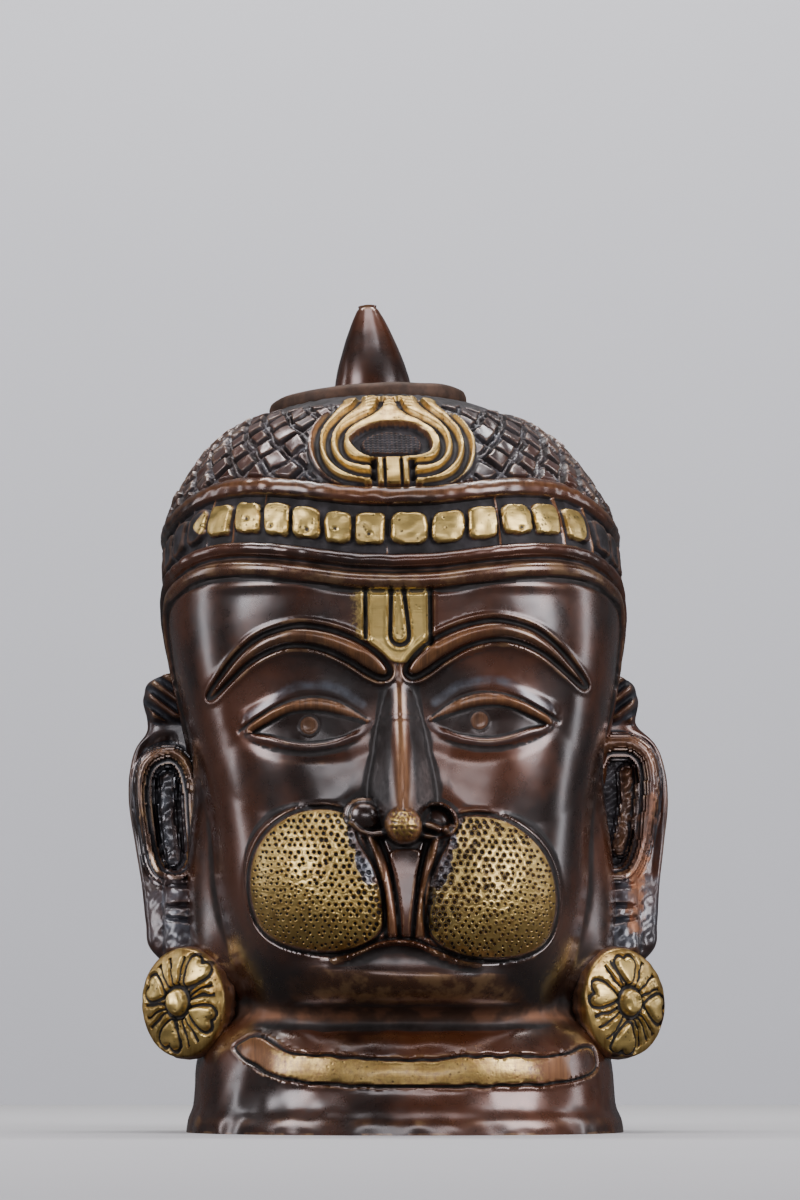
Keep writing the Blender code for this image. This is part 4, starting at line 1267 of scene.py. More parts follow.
@dataclass
class Motif:
    """The gilded lotus mark on the front of the dome: nested strands round a braided seed."""

    middle: float = 0.9
    outline: Points = (
        (0, 46.5), (12, 46), (18, 41), (23, 34.5), (27.3, 27), (29.3, 18.5), (28.8, 11), (26.3, 5),
        (21, 0.6), (13, -2.4), (0, -3)
    )
    grooves: tuple[Points, ...] = (
        ((2.7, 44), (5, 35), (11.3, 29), (16, 24), (17.8, 18), (16.8, 12.3), (13.5, 8.9), (6.7, 7.6)),
        (
            (10.2, 44.5), (12.3, 38), (17, 31), (20.8, 24), (22.2, 17.6), (21.2, 11.3), (17.6, 6.3),
            (13, 3.7), (7.1, 2.6)
        ),
        ((17.5, 41), (22, 31.5), (25.2, 24), (26.2, 17), (25.4, 10.5), (22.5, 4.5), (17.5, 1), (11, -0.6)),
    )
    moat: Points = (
        (-14.4, 18), (-10.3, 23.7), (-4, 26.9), (3.1, 27.3), (9.3, 25.4), (12.6, 20.8), (13.6, 15),
        (10.8, 11.5), (1.9, 10.2), (-8.9, 10.7)
    )
    seed: Points = (
        (-10.9, 16.7), (-8.7, 20.4), (-3.1, 23), (4.5, 22.4), (9.5, 20), (10.2, 15.6), (7.7, 12.8),
        (-0.2, 12.0), (-8.1, 12.6)
    )
    stem_edge: float = 5.3
    slit: float = 2.9
    rise: float = 2.3

    def outer(self) -> Line:
        """The mark's whole outline."""
        left = tuple((-x, a) for x, a in self.outline[-2:0:-1])
        return Line(self.outline + left, closed=True)

    def relief(self, x: Array, climb: Array) -> Carving:
        """Carves the mark.

        Args:
            x: Across from the mask's middle.
            climb: How far up the dome, from the band.

        Returns:
            How far it stands out of the dome, with its finish.
        """
        done = Carving.blank(x.shape)
        x = x - self.middle
        away = self.outer().away(x, climb)
        lines = np.full(x.shape, 7.0)
        for points in self.grooves:
            lines = np.minimum(lines, Line(points).away(np.abs(x), climb))
        below = climb < 9.5
        stem = np.where(below, np.minimum(np.abs(np.abs(x) - self.slit), 7), 7)
        gap = np.where(below & (np.abs(x) < 9), np.abs(np.abs(x) - self.stem_edge - 1.2), 7)
        moat = Line(self.moat, closed=True).away(x, climb)
        seed = Line(self.seed, closed=True).away(x, climb)
        braid = 0.5 + 0.5 * np.sin(1.9 * x + 2.6 * climb) * np.sin(-1.9 * x + 2.6 * climb)
        out = (self.rise + 0.5 * (1 - np.exp(-np.clip(lines - 0.9, 0, None) / 0.9))) * step(-0.3, 0.9, -away)
        out = (
            out - 2.3 * ridge(lines, 1.5) ** 0.7 * (away < 0.5) - 1.6 * ridge(stem, 0.7)
            - 2.2 * ridge(gap, 1.5)
        )
        ticks = np.abs((climb * 0.9 + np.abs(x) * 0.5) % 2.4 - 1.2)
        out = out - 0.5 * ridge(ticks, 0.35) * (np.abs(x) < 8) * (climb > 37) * (away < -1)
        sunk = step(-0.3, 0.6, -moat)
        out = out * (1 - sunk) + sunk * (-0.4 + 2.0 * step(-0.2, 0.7, -seed) * (0.55 + 0.45 * braid))
        done.out = out
        dark = np.maximum(np.maximum(ridge(lines, 1.5), ridge(stem, 0.8)), ridge(gap, 1.6))
        done.blacken(np.maximum(np.where(away < 0.8, dark, 0), sunk * (1 - 0.35 * braid)))
        gold = np.minimum(-away - 0.6, np.minimum(lines - 0.9, np.minimum(stem - 0.4, gap - 1.0)))
        outer_strand = step(-1, 1, np.abs(x) - 27.2 + 0.02 * (climb - 18) ** 2) * (x < 0)
        done.gild(np.minimum(gold, moat - 0.2) - 1.6 * outer_strand)
        done.rub(0.40 + 0.45 * step(20, 29, np.abs(x)) + 0.6 * step(12, 36, climb))
        return done


@dataclass
class Crown:
    """The band with its tablets, and the dome with its net of studs."""

    band: HeadBand
    motif: Motif = field(default_factory=Motif)
    cells: int = 36  # studs round the dome in one row
    pitch: float = 12.6  # from one row to the row after next
    stud: float = 0.30  # half a stud's top, as a share of its mesh
    stud_rise: float = 2.5
    base: float = 225.0  # where the climb of the dome is measured from

    def net(self, turn: Array, climb: Array) -> tuple[Array, Array, Array]:
        """Carves the net; gives how far out, the black ground and the dull cords that cross it."""
        wobble_a = 0.05 * Unevenness(41, 14).at(turn * 1.3, climb)
        wobble_b = 0.05 * Unevenness(42, 14).at(turn * 1.3, climb)
        p, q = turn / 360 * self.cells + 0.12, climb / self.pitch
        one, two = p + q + wobble_a, p - q + wobble_b
        cell = np.round(one) * 57 + np.round(two) * 131
        f, g = one - np.round(one), two - np.round(two)
        f = f + 0.05 * (spread(cell, 1) - 0.5)
        g = g + 0.05 * (spread(cell, 2) - 0.5)
        size = self.stud * (0.88 + 0.24 * spread(cell, 3))
        long = 1 + 0.22 * (spread(cell, 4) - 0.5)
        reach = np.maximum(np.abs(f) * long, np.abs(g) / long)
        top = self.stud_rise * (0.8 + 0.35 * spread(cell, 5))
        slant = 1.6 * (spread(cell, 6) - 0.5) * f + 1.6 * (spread(cell, 7) - 0.5) * g
        stud = (top + slant) * (1 - step(size - 0.01, size + 0.085, reach))
        strands = np.maximum(ridge(np.abs(f) - 0.5, 0.095), ridge(np.abs(g) - 0.5, 0.095))
        cords = 1.1 * strands**0.7
        rough = 0.16 * Unevenness(43, 2.4).at(turn * 1.3, climb)
        black = step(size - 0.035, size + 0.02, reach + 0.012 * rough)
        return stud + cords - 1.1 + rough * step(size, size + 0.05, reach), black, strands**0.5

    def band_shape(self, name: str) -> bpy.types.Object:
        """Builds the band with its tablets as a closed, uncut form."""
        angles = wrapped_angles(76, 0.52, 126, 1.1, 4)
        made, turn, row, along = self.wrap(name, angles, (2, 36, 36, 14, 2), dome=False)
        smooth = HEAD.point(np.radians(turn), along)
        off = smooth[:, 2] - self.band.middle(turn)
        done = Carving.blank(turn.shape)
        rims, rim_black = self.band.rims(turn, smooth[:, 2])
        tablets, gold, dividers = self.band.tablets(turn, smooth[:, 2])
        in_bed = np.abs(off) < 8.6
        done.gild(np.where(in_bed, gold, -4))
        done.blacken(rim_black * np.where(in_bed, 1 - step(-0.6, 0.2, gold), 1) * (1 - dividers * in_bed))
        done.rub(0.8 * dividers * in_bed)
        done.rub(0.5 * step(10.2, 11.5, off) * (1 - step(12.5, 13.5, off)))
        out = rims + np.where(in_bed, tablets, 0) - 2.4 * step(0.1, 0.4, off - self.band.top)
        return self.dress(made, turn, row, along, out, done)

    def dome_shape(self, name: str) -> bpy.types.Object:
        """Builds the dome with its net and motif as a closed, uncut form."""
        angles = wrapped_angles(74, 0.58, 126, 1.1, 4)
        made, turn, row, along = self.wrap(name, angles, (3, 100), dome=True)
        smooth = HEAD.point(np.radians(turn), along)
        height = smooth[:, 2]
        climb = along - HEAD.along_at(self.base)
        off = height - self.band.middle(turn)
        done = Carving.blank(turn.shape)
        net, net_black, cords = self.net(turn, climb)
        fade = 1 - step(256, 262, height)
        rising = step(0.0, 1.4, off - self.band.top)
        net = net * rising * fade - 1.0 * rising * (1 - fade) - 0.9 * (1 - rising)
        away = self.motif.outer().away(smooth[:, 0] - self.motif.middle, climb)
        front = np.cos(np.radians(turn)) > 0.3
        mark = self.motif.relief(smooth[:, 0], climb)
        on_mark = step(-2.6, -0.6, -away) * rising * front
        off_mark = 1 - step(0.5, 2.0, -away * front)
        done.blacken(net_black * off_mark)
        # Painted shade: black round the top of the dome, at and under the edge of the finial's plate.
        done.blacken(1 - fade)
        done.soot = np.where(front & (away < -0.3), mark.soot, done.soot)
        done.dull((0.3 + 0.55 * cords) * off_mark * fade * rising)
        done.rub(mark.rubbed * (1 - off_mark))
        done.gild(np.where(front, mark.gold, -4) - 4 * (rising < 0.5))
        return self.dress(made, turn, row, along, net * (1 - on_mark) + mark.out * on_mark, done)

    def wrap(self, name: str, angles: Array, counts: tuple[int, ...], dome: bool) -> tuple:
        """Wraps a grid round the crown, and divides the front of the dome again.

        Args:
            name: The piece's name.
            angles: The directions of its columns.
            counts: The rows between its key heights.
            dome: Whether it is the dome, or else the band.

        Returns:
            The flat grid, and each point's direction in degrees, row and place up the profile.
        """
        columns, rows = len(angles) - 1, sum(counts) + 2
        made = flat_grid(name, columns, rows)
        if dome:
            middles = face_middles(made)
            front = np.abs(np.interp(middles[:, 0], np.arange(columns + 1), angles)) < math.radians(54)
            refine(made, front & (middles[:, 1] > 5) & (middles[:, 1] < 0.86 * rows))
        grid = read_points(made)
        turn = np.degrees(np.interp(grid[:, 0], np.arange(columns + 1), angles))
        row = grid[:, 1] - 1
        middle, top = self.band.middle(turn), self.band.top
        if dome:
            keys = [HEAD.along_at(middle + offset) for offset in (top - 4.5, top - 0.2)]
            keys.append(np.full(turn.shape, HEAD.lengths[-1]))
        else:
            keys = [HEAD.along_at(self.band.split(turn) + offset) for offset in (-0.2, 0.4)]
            keys += [HEAD.along_at(middle + offset) for offset in (-8.9, 8.9, top, top + 0.5)]
        edges = np.concatenate([[0], np.cumsum(counts)])
        along = keys[0].copy()
        for start, end, low, high in zip(edges, edges[1:], keys, keys[1:]):
            share = np.clip((row - start) / (end - start), 0, 1)
            along = np.where(row > start, low + share * (high - low), along)
        return made, turn, row, along

    def dress(
        self, made: bpy.types.Object, turn: Array, row: Array, along: Array, out: Array, done: Carving
    ) -> bpy.types.Object:
        """Bends a wrapped grid into shape, with its relief and its marks, and closes it."""
        angle = np.radians(turn)
        smooth = HEAD.point(angle, along)
        out = out + 0.13 * Unevenness(44, 7).at(turn * 1.4, smooth[:, 2])
        out = out * (1 - step(145, 170, np.abs(turn)))
        points = smooth + HEAD.normal(angle, along) * out[:, None]
        gather(points, row < -0.5)
        gather(points, row > row.max() - 0.5)
        write_points(made, HEAD.placed(points))
        for mark, values in done.marks().items():
            write_mark(made, mark, values)
        close_up(made)
        return made


# Ears, ear flowers and the finial


@dataclass
class Ear:
    """One ear: a thick plate, carved in front, that stands out from the side of the head."""

    side: Side
    edge: Points = (
        (60, 86), (66, 91.5), (75, 93.0), (89, 94.6), (104, 97.0), (122, 99.2), (131, 98.6), (141, 95.4),
        (147, 90.6), (159, 91.0), (165, 87.5), (168, 80)
    )
    root: float = 66.0
    front: float = -4.0
    thickness: float = 13.0
    lobe_forward: float = 12.0  # the lobe comes forward to carry the ear flower
    tuft_out: float = 1.8  # the left tuft stands out further than the right
    hollow: Points = ()
    tongue: Points = ()
    roll_width: float = 3.2
    tongue_width: float = 3.4
    columns: int = 84
    rows: int = 200

    @classmethod
    def left(cls) -> "Ear":
        """The left ear, with a long plain hollow."""
        return cls(
            side=Side.LEFT,
            hollow=(
                (83.0, 134.4), (88.6, 132.6), (91.2, 126.7), (91.2, 116.9), (90.0, 107.1), (88.2, 98.7),
                (85.6, 94.4), (80.4, 93.8), (77.2, 98.7), (77.4, 112.0), (78.0, 122.5), (79.6, 130.5)
            ), tongue=((84.6, 128), (85.4, 118), (84.6, 108), (83.2, 99)), roll_width=2.6
        )

    @classmethod
    def right(cls) -> "Ear":
        """The right ear, with a fat roll above and an upright tongue."""
        return cls(
            side=Side.RIGHT,
            hollow=(
                (76.4, 135.5), (80.7, 137.2), (85.6, 136.6), (88.4, 133.0), (88.8, 125.9), (87.7, 116.1),
                (86.2, 106.3), (83.6, 98.6), (80.6, 95.0), (75.4, 96.2), (73.0, 110), (73.6, 126)
            ), tongue=((84.4, 130.4), (84.6, 122), (82.8, 111), (80.6, 103.4)), roll_width=3.6
        )

    def relief(self, x: Array, height: Array) -> Carving:
        """Carves the front of the ear: rolled rim, hollow, tongue, strap and tuft."""
        done = Carving.blank(x.shape)
        sign = self.side.value
        away = Line(self.hollow, closed=True, reach=12).away(x, height)
        narrow = self.roll_width * (0.55 + 0.45 * step(96, 128, height))
        roll = 4.6 * ridge(away - narrow, narrow) ** 0.6 * step(88, 94, height)
        flange = (
            -3.4 * step(2.0, 4.5, away - narrow) * step(84, 94, height) * (1 - step(139, 146, height))
            * step(80, 84, x)
        )
        scoop = -6.4 * step(-0.4, 2.2, -away)
        tongue_away = Line(self.tongue, reach=12).away(x, height)
        tongue = 3.8 * ridge(tongue_away, self.tongue_width) ** 0.6 * step(-0.2, 1.2, -away)
        rumple = Unevenness(51 + sign, 4.2).at(x, height)
        strap = 4.4 * ridge(x - 79.5, 6.6) ** 0.4 * (1 - step(90, 95, height)) * step(62, 66, height)
        cuts = np.zeros(x.shape)
        for level, lean in ((88.6, 0.05), (81.4, -0.08), (76.2, 0.1)):
            cuts = cuts - 2.4 * ridge(height - level - lean * (x - 79), 1.2) * ridge(x - 79, 6.5) ** 0.4
        wave = np.sin((height - 0.75 * (x - 80)) * 2 * math.pi / 6.2)
        in_tuft = step(148, 151, height) * (1 - step(166, 168.4, height))
        tuft = (3.6 + 2.4 * np.sign(wave) * np.abs(wave) ** 0.6) * in_tuft
        rough = rumple * (0.26 * step(0, 2, -away) + 0.2 * (1 - step(86, 92, height)))
        done.out = roll + flange + scoop + tongue + strap + cuts + tuft + rough
        in_hollow = step(0.3, 1.6, -away)
        on_tongue = ridge(tongue_away, self.tongue_width)
        ground = np.maximum(in_hollow * (0.8 - 0.7 * on_tongue), 0.5 * step(1.0, 3.0, away - 2 * narrow))
        ground = np.maximum(ground, (1 - step(88, 93, height)) * 0.45)
        done.dull(in_hollow * (0.75 if self.side is Side.LEFT else 0.65 * (1 - on_tongue)))
        done.dull(0.8 * (1 - step(89, 94, height)) * step(64, 70, height) * (0.4 + 0.6 * (x < 87)))
        if self.side is Side.RIGHT:
            done.dull(step(87.4, 88.6, x) * step(73, 76, height) * (1 - step(90, 94, height)))
            done.rub(0.5 * on_tongue * in_hollow)
        done.rub(0.45 * ridge(away - narrow, narrow) * step(126, 134, height))
        ground = np.maximum(ground, in_tuft * step(0.0, 0.8, -wave))
        done.blacken(ground)
        copper = Line(((91.6, 120), (90.1, 109.4), (87.9, 100.2), (85.4, 86.6), (84.2, 73.6)), reach=12).away(
            x, height
        )
        if self.side is Side.RIGHT:
            done.roughen(1 - step(1.4, 3.0, copper + 0.8 * rumple))
            done.soot = done.soot * (1 - done.raw)
        done.gild(np.where(away > 0, 0.05 - 0.9 * np.abs(away - 0.4) - 0.4 * (x < 81), -4))
        return done

    def shape(self, name: str) -> bpy.types.Object:
        """Builds the ear as one closed plate."""
        sign = self.side.value
        made = flat_grid(name, self.columns, self.rows)
        grid = read_points(made)
        half = self.thickness / 2
        front_columns = round(self.columns * 0.76)
        share = grid[:, 0] % self.columns  # the last column closes onto the first
        is_front = share <= front_columns
        across = np.where(
            is_front, share / front_columns, (self.columns - share) / (self.columns - front_columns)
        )
        row = np.clip(grid[:, 1] - 1, 0, self.rows - 2)
        height = 60.5 + row / (self.rows - 2) * (167.8 - 60.5)
        shift = self.tuft_out if self.side is Side.LEFT else -self.tuft_out
        edge_x = smooth_through(self.edge, height) + shift * step(143, 150, height)
        across = 1 - (1 - across) ** 1.25
        x = self.root + across * (edge_x - self.root)
        rounding = np.sqrt(np.clip(1 - across**7, 0, 1))
        middle = self.front + half - self.lobe_forward * (1 - step(62, 112, height))
        carving = self.relief(x, height)
        ends = step(60.5, 62.5, height) * (1 - step(166.4, 167.8, height))
        depth = carving.out * step(0, 0.13, 1 - across)
        front = middle - (half * rounding + depth) * (0.5 + 0.5 * ends)
        back = middle + (half * rounding + 6 * (1 - across)) * (0.6 + 0.4 * ends)
        back = back + 0.35 * Unevenness(55 + sign, 5).at(x, height)
        y = np.where(is_front, front, back)
        pole = (grid[:, 1] < 0.5) | (grid[:, 1] > self.rows - 0.5)
        y = np.where(pole, middle, y)
        x = np.where(pole, (self.root + edge_x) / 2, x)
        write_points(made, HEAD.placed(np.column_stack([sign * x, y, height])))
        carving.soot = np.where(is_front, carving.soot, 0.55)
        carving.raw = np.where(is_front, carving.raw, 0.35)
        carving.gold = np.where(is_front, carving.gold, -4)
        for mark, values in carving.marks().items():
            write_mark(made, mark, values)
        close_up(made)
        return made


@dataclass
class EarFlower:
    """One ear flower: a domed disc with four heart-shaped petals, turned forward and out."""

    side: Side
    radius: float = 20.3
    thickness: float = 7.5
    place: tuple[float, float, float] = (79.0, -27.0, 46.2)
    facing: tuple[float, float, float] = (0.62, -0.78, 0.02)
    boss: float = 4.4
    petals: tuple[float, ...] = (90, 172, 262, 356)  # their directions, in degrees
    rays: tuple[float, ...] = ()
    petal: Points = (
        (6.4, 0), (8.6, 2.5), (12.2, 4.6), (15.4, 5.2), (17.6, 3.6), (17.7, 1.5), (16.7, 0), (17.7, -1.5),
        (17.6, -3.6), (15.4, -5.2), (12.2, -4.6), (8.6, -2.5)
    )
    columns: int = 176
    rows: int = 92

    def relief(self, u: Array, v: Array) -> Carving:
        """Cuts the flower into the disc.

        Args:
            u: Across the disc, towards the mask's right.
            v: Up the disc.

        Returns:
            How far it stands out, with its finish.
        """
        done = Carving.blank(u.shape)
        radius = np.hypot(u, v)
        wobble = Unevenness(61 + self.side.value, 6).at(u, v)
        lines = np.full(u.shape, 7.0)
        inside = np.full(u.shape, 7.0)
        for number, turn in enumerate(self.petals):
            c, s = math.cos(math.radians(turn)), math.sin(math.radians(turn))
            along, across = u * c + v * s, v * c - u * s
            size = 0.94 + 0.12 * float(spread(np.array(float(number)), 5 + self.side.value))
            away = Line(self.petal, closed=True).away(along / size + 0.2 * wobble, across / size)
            inside = np.minimum(inside, away)
            lines = np.minimum(lines, np.abs(away))
        for turn in self.rays:
            c, s = math.cos(math.radians(turn)), math.sin(math.radians(turn))
            along, across = u * c + v * s, v * c - u * s
            ray = np.where(
                (along > 6.2) & (along < 16.6), np.abs(across + 0.25 * wobble + 0.012 * (along - 10) ** 2), 7
            )
            lines = np.minimum(lines, ray * 1.15)
        ring = np.abs(radius - self.boss - 1.2)
        swelling = 4.2 * (1 - np.clip(radius / self.radius, 0, 1) ** 2.4)
        knob = 1.1 * (1 - step(self.boss - 0.9, self.boss + 0.2, radius)) * (1 + 0.2 * wobble)
        cuts = 1.25 * ridge(lines, 0.98) ** 0.7 * (radius > 5.5) * (radius < 18.6)
        done.out = (
            swelling + knob - cuts - 1.5 * ridge(ring, 1.35) + 0.35 * step(0, 2.0, -inside) + 0.1 * wobble
        )
        dark = np.maximum(ridge(lines, 0.95) * (radius > 5.5), 0.85 * ridge(ring, 1.4))
        done.blacken(0.95 * dark)
        stained = 0.3 * step(0.4, 2.5, inside) * (radius > 7)
        done.rub(0.75 * step(15.5, 19.5, radius + 0.8 * wobble) + 0.1 + stained)
        edge = self.radius - 0.9 - radius
        done.gild(np.minimum(np.minimum(edge, lines - 0.5), ring - 0.9) + 0.2)
        return done

    def shape(self, name: str) -> bpy.types.Object:
        """Builds the flower with the stub that carries it, as one closed form."""
        made = flat_grid(name, self.columns, self.rows)
        grid = read_points(made)
        angle = grid[:, 0] / self.columns * 2 * math.pi
        share = grid[:, 1] / self.rows
        stub, rim = 0.16, 0.30
        radius = np.interp(share, (0, 0.02, stub, rim, 1), (0, 0.6, 0.78, 1.0, 0)) * self.radius
        depth = np.interp(
            share, (0, 0.02, stub, rim, 1),
            (-self.thickness - 9, -self.thickness - 9, -self.thickness - 3, -0.5 * self.thickness, 0)
        )
        rounding = np.sin(np.clip((share - stub) / (rim - stub), 0, 1) * math.pi / 2)
        radius = np.where((share > stub) & (share < rim), (0.78 + 0.22 * rounding) * self.radius, radius)
        radius = radius * (1 + 0.012 * np.sin(3 * angle + 1) + 0.008 * np.sin(5 * angle))
        u, v = radius * np.cos(angle), radius * np.sin(angle)
        carving = self.relief(u, v)
        on_face = step(rim - 0.005, rim + 0.03, share)
        depth = np.where(share >= rim, -0.5 * self.thickness * (1 - step(rim, rim + 0.05, share)) ** 2, depth)
        rough = 0.5 * Unevenness(65, 4).at(u, v, depth) * (1 - on_face) * step(0.02, 0.1, share)
        out = Vector((self.facing[0] * self.side.value, self.facing[1], self.facing[2])).normalized()
        up = Vector((0, 0, 1))
        right = up.cross(out).normalized()
        up = out.cross(right)
        middle = Vector((self.place[0] * self.side.value, self.place[1], self.place[2]))
        reach = depth + carving.out * on_face
        points = np.array(middle) + (u + rough)[:, None] * np.array(right) + v[:, None] * np.array(up)
        points = points + reach[:, None] * np.array(out)
        write_points(made, HEAD.placed(points))
        carving.gold = np.where(on_face > 0.5, carving.gold, -4)
        carving.soot = np.where(on_face > 0.5, carving.soot, 0.75)
        carving.raw = (1 - on_face) * 0.55
        for mark, values in carving.marks().items():
            write_mark(made, mark, values)
        close_up(made)
        return made


@dataclass
class Finial:
    """The round plate on the dome and the pointed finial on it, turned as one."""

    plate: float = 36.8
    thickness: float = 6.0
    foot: float = 14.6
    shift: float = -6.1  # the plate sits left of the crown's middle
    tip_shift: float = 2.1  # and the finial right of the plate's middle
    tilt: float = -3.8
    level: float = 269.6
    outline: Points = (
        (0, 1.0), (0.16, 0.93), (0.34, 0.82), (0.53, 0.67), (0.71, 0.51), (0.86, 0.35), (0.95, 0.22),
        (0.99, 0.1), (0.995, 0.0)
    )
    columns: int = 120

    def shape(self, name: str) -> bpy.types.Object:
        """Turns the plate and finial as one closed form."""
        rise = FULL_HEIGHT + 0.2 - self.level - 2.4
        profile = [(0, -self.thickness - 2.5, 0), (0.86 * self.plate, -self.thickness - 2.5, 0)]
        profile += [(0.97 * self.plate, -self.thickness - 0.8, 0), (self.plate, -self.thickness * 0.75, 0)]
        profile += [(self.plate, -0.35 * self.thickness, 0), (0.985 * self.plate, -0.12 * self.thickness, 0)]
        profile += [(0.95 * self.plate, 0, 0), (0.8 * self.plate, 0.3, 0), (0.6 * self.plate, 0.8, 0.6)]
        profile += [(self.foot + 1.4, 1.3, self.tip_shift), (self.foot + 0.5, 1.6, self.tip_shift)]
        fine = np.linspace(0, 0.995, 44)
        widths = smooth_through(self.outline, fine)
        profile += [(self.foot * w, 2.4 + rise * f, self.tip_shift) for f, w in zip(fine, widths)]
        rings = np.array(profile)
        rows = len(rings) - 1
        made = flat_grid(name, self.columns, rows)
        grid = read_points(made)
        angle = grid[:, 0] / self.columns * 2 * math.pi
        radius, level, shift = (np.interp(grid[:, 1], np.arange(rows + 1), rings[:, k]) for k in range(3))
        rim = np.exp(-(((level + 3) / 4) ** 2)) * (radius > 0.7 * self.plate)
        hand = Unevenness(71, 1.1)
        radius = radius + rim * 0.3 * hand.at(np.cos(angle), np.sin(angle))
        level = level + rim * 0.2 * hand.at(np.cos(angle) * 2 + 9, np.sin(angle) * 2)
        dents = 0.03 * Unevenness(72, 9).at(radius * np.cos(angle), radius * np.sin(angle), level)
        radius = np.where(grid[:, 1] > 10.5, radius + dents * step(0, 3, radius), radius)
        lean = HEAD.leaning(self.level)
        place = Matrix.Translation((self.shift, 0, self.level)) @ Matrix.Rotation(
            math.radians(self.tilt), 4, "Y"
        )
        turned = np.array(place.to_3x3())
        local = np.column_stack([shift + radius * np.cos(angle), radius * np.sin(angle), level])
        points = local @ turned.T + np.array(place.translation)
        points[:, 0] += lean
        points[:, 1] += FORWARD
        write_points(made, points * UNIT)
        done = Carving.blank(angle.shape)
        # The whole plate is darkened like the real dark disc; the heavier black on its underside and rim is
        # also painted shade where it faces down.
        done.blacken(np.where(grid[:, 1] < 6.5, 0.9, 0))
        done.darken(np.where(grid[:, 1] < 10.5, 1, 0))
        done.blacken(np.where((grid[:, 1] >= 6.5) & (grid[:, 1] < 10.5), 0.62, 0))
        for mark, values in done.marks().items():
            write_mark(made, mark, values)
        close_up(made)
        return made


# Finishes

Colour = tuple[float, float, float]


@dataclass
class Graph:
    """Builds shader nodes in a row, and wires them up."""

    tree: bpy.types.NodeTree
    column: int = 0

    def node(self, kind: str, **settings: object) -> bpy.types.Node:
        """Adds a node and sets its properties."""
        made = self.tree.nodes.new(kind)
        self.column += 1
        made.location = (180 * (self.column % 12), -220 * (self.column // 12))
        for name, value in settings.items():
            setattr(made, name, value)
        return made

    def feed(self, socket: bpy.types.NodeSocket, value: object) -> None:
        """Links a socket, or sets it to a plain value."""
        if isinstance(value, bpy.types.NodeSocket):
            self.tree.links.new(value, socket)
        else:
            socket.default_value = value

    def math(self, operation: str, a: object, b: object = 0.0, clamp: bool = False) -> bpy.types.NodeSocket:
        """Works out one sum."""
        made = self.node("ShaderNodeMath", operation=operation, use_clamp=clamp)
        self.feed(made.inputs[0], a)
        self.feed(made.inputs[1], b)
        return made.outputs[0]

    def rise(self, value: object, low: float, high: float) -> bpy.types.NodeSocket:
        """0 at low, 1 at high, smooth between."""
        made = self.node("ShaderNodeMapRange", interpolation_type="SMOOTHSTEP", clamp=True)
        self.feed(made.inputs["Value"], value)
        made.inputs["From Min"].default_value = low
        made.inputs["From Max"].default_value = high
        return made.outputs["Result"]

    def scale(self, value: object, low: float, high: float) -> bpy.types.NodeSocket:
        """Stretches 0 to 1 over another range."""
        made = self.node("ShaderNodeMapRange", clamp=True)
        self.feed(made.inputs["Value"], value)
        made.inputs["To Min"].default_value = low
        made.inputs["To Max"].default_value = high
        return made.outputs["Result"]

    def blend(self, share: object, a: object, b: object) -> bpy.types.NodeSocket:
        """Mixes two colours."""
        made = self.node("ShaderNodeMix", data_type="RGBA", clamp_factor=True)
        self.feed(made.inputs[0], share)
        for socket, value in ((made.inputs[6], a), (made.inputs[7], b)):
            self.feed(socket, (*value, 1.0) if isinstance(value, tuple) else value)
        return made.outputs[2]

    def between(self, share: object, a: object, b: object) -> bpy.types.NodeSocket:
        """Mixes two numbers."""
        made = self.node("ShaderNodeMix", data_type="FLOAT", clamp_factor=True)
        self.feed(made.inputs[0], share)
        self.feed(made.inputs[2], a)
        self.feed(made.inputs[3], b)
        return made.outputs[0]

    def mark(self, mark: Mark) -> bpy.types.NodeSocket:
        """Reads what the mesh says at each point."""
        return self.node("ShaderNodeAttribute", attribute_name=mark.value).outputs["Fac"]

    def place(self, stretch: Colour = (1, 1, 1)) -> bpy.types.NodeSocket:
        """The place on the piece, stretched."""
        where = self.node("ShaderNodeTexCoord").outputs["Object"]
        made = self.node("ShaderNodeMapping")
        made.inputs["Scale"].default_value = stretch
        self.feed(made.inputs["Vector"], where)
        return made.outputs["Vector"]

    def noise(
        self, scale: object, detail: float = 3.0, stretch: Colour = (1, 1, 1), rough: float = 0.55
    ) -> bpy.types.NodeSocket:
        """Cloudy noise on the piece."""
        made = self.node("ShaderNodeTexNoise")
        self.feed(made.inputs["Vector"], self.place(stretch))
        self.feed(made.inputs["Scale"], scale)
        made.inputs["Detail"].default_value = detail
        made.inputs["Roughness"].default_value = rough
        return made.outputs["Fac"]

    def group(self, tree: bpy.types.NodeTree, **values: object) -> bpy.types.Node:
        """Places a shared effect and sets its inputs."""
        made = self.node("ShaderNodeGroup")
        made.node_tree = tree
        for name, value in values.items():
            self.feed(made.inputs[name.replace("_", " ")], value)
        return made


def new_group(name: str, inputs: dict[str, float], outputs: tuple[str, ...]) -> tuple[Graph, dict, dict]:
    """Starts a shared effect.

    Args:
        name: The group's name.
        inputs: Its inputs with their usual values.
        outputs: Its outputs.

    Returns:
        The graph to build it in, its input sockets and its output sockets.
    """
    tree = bpy.data.node_groups.new(name, "ShaderNodeTree")
    for label, value in inputs.items():
        tree.interface.new_socket(label, in_out="INPUT", socket_type="NodeSocketFloat").default_value = value
    for label in outputs:
        tree.interface.new_socket(label, in_out="OUTPUT", socket_type="NodeSocketFloat")
    graph = Graph(tree)
    start, end = graph.node("NodeGroupInput"), graph.node("NodeGroupOutput")
    return graph, {s.name: s for s in start.outputs}, {s.name: s for s in end.inputs}


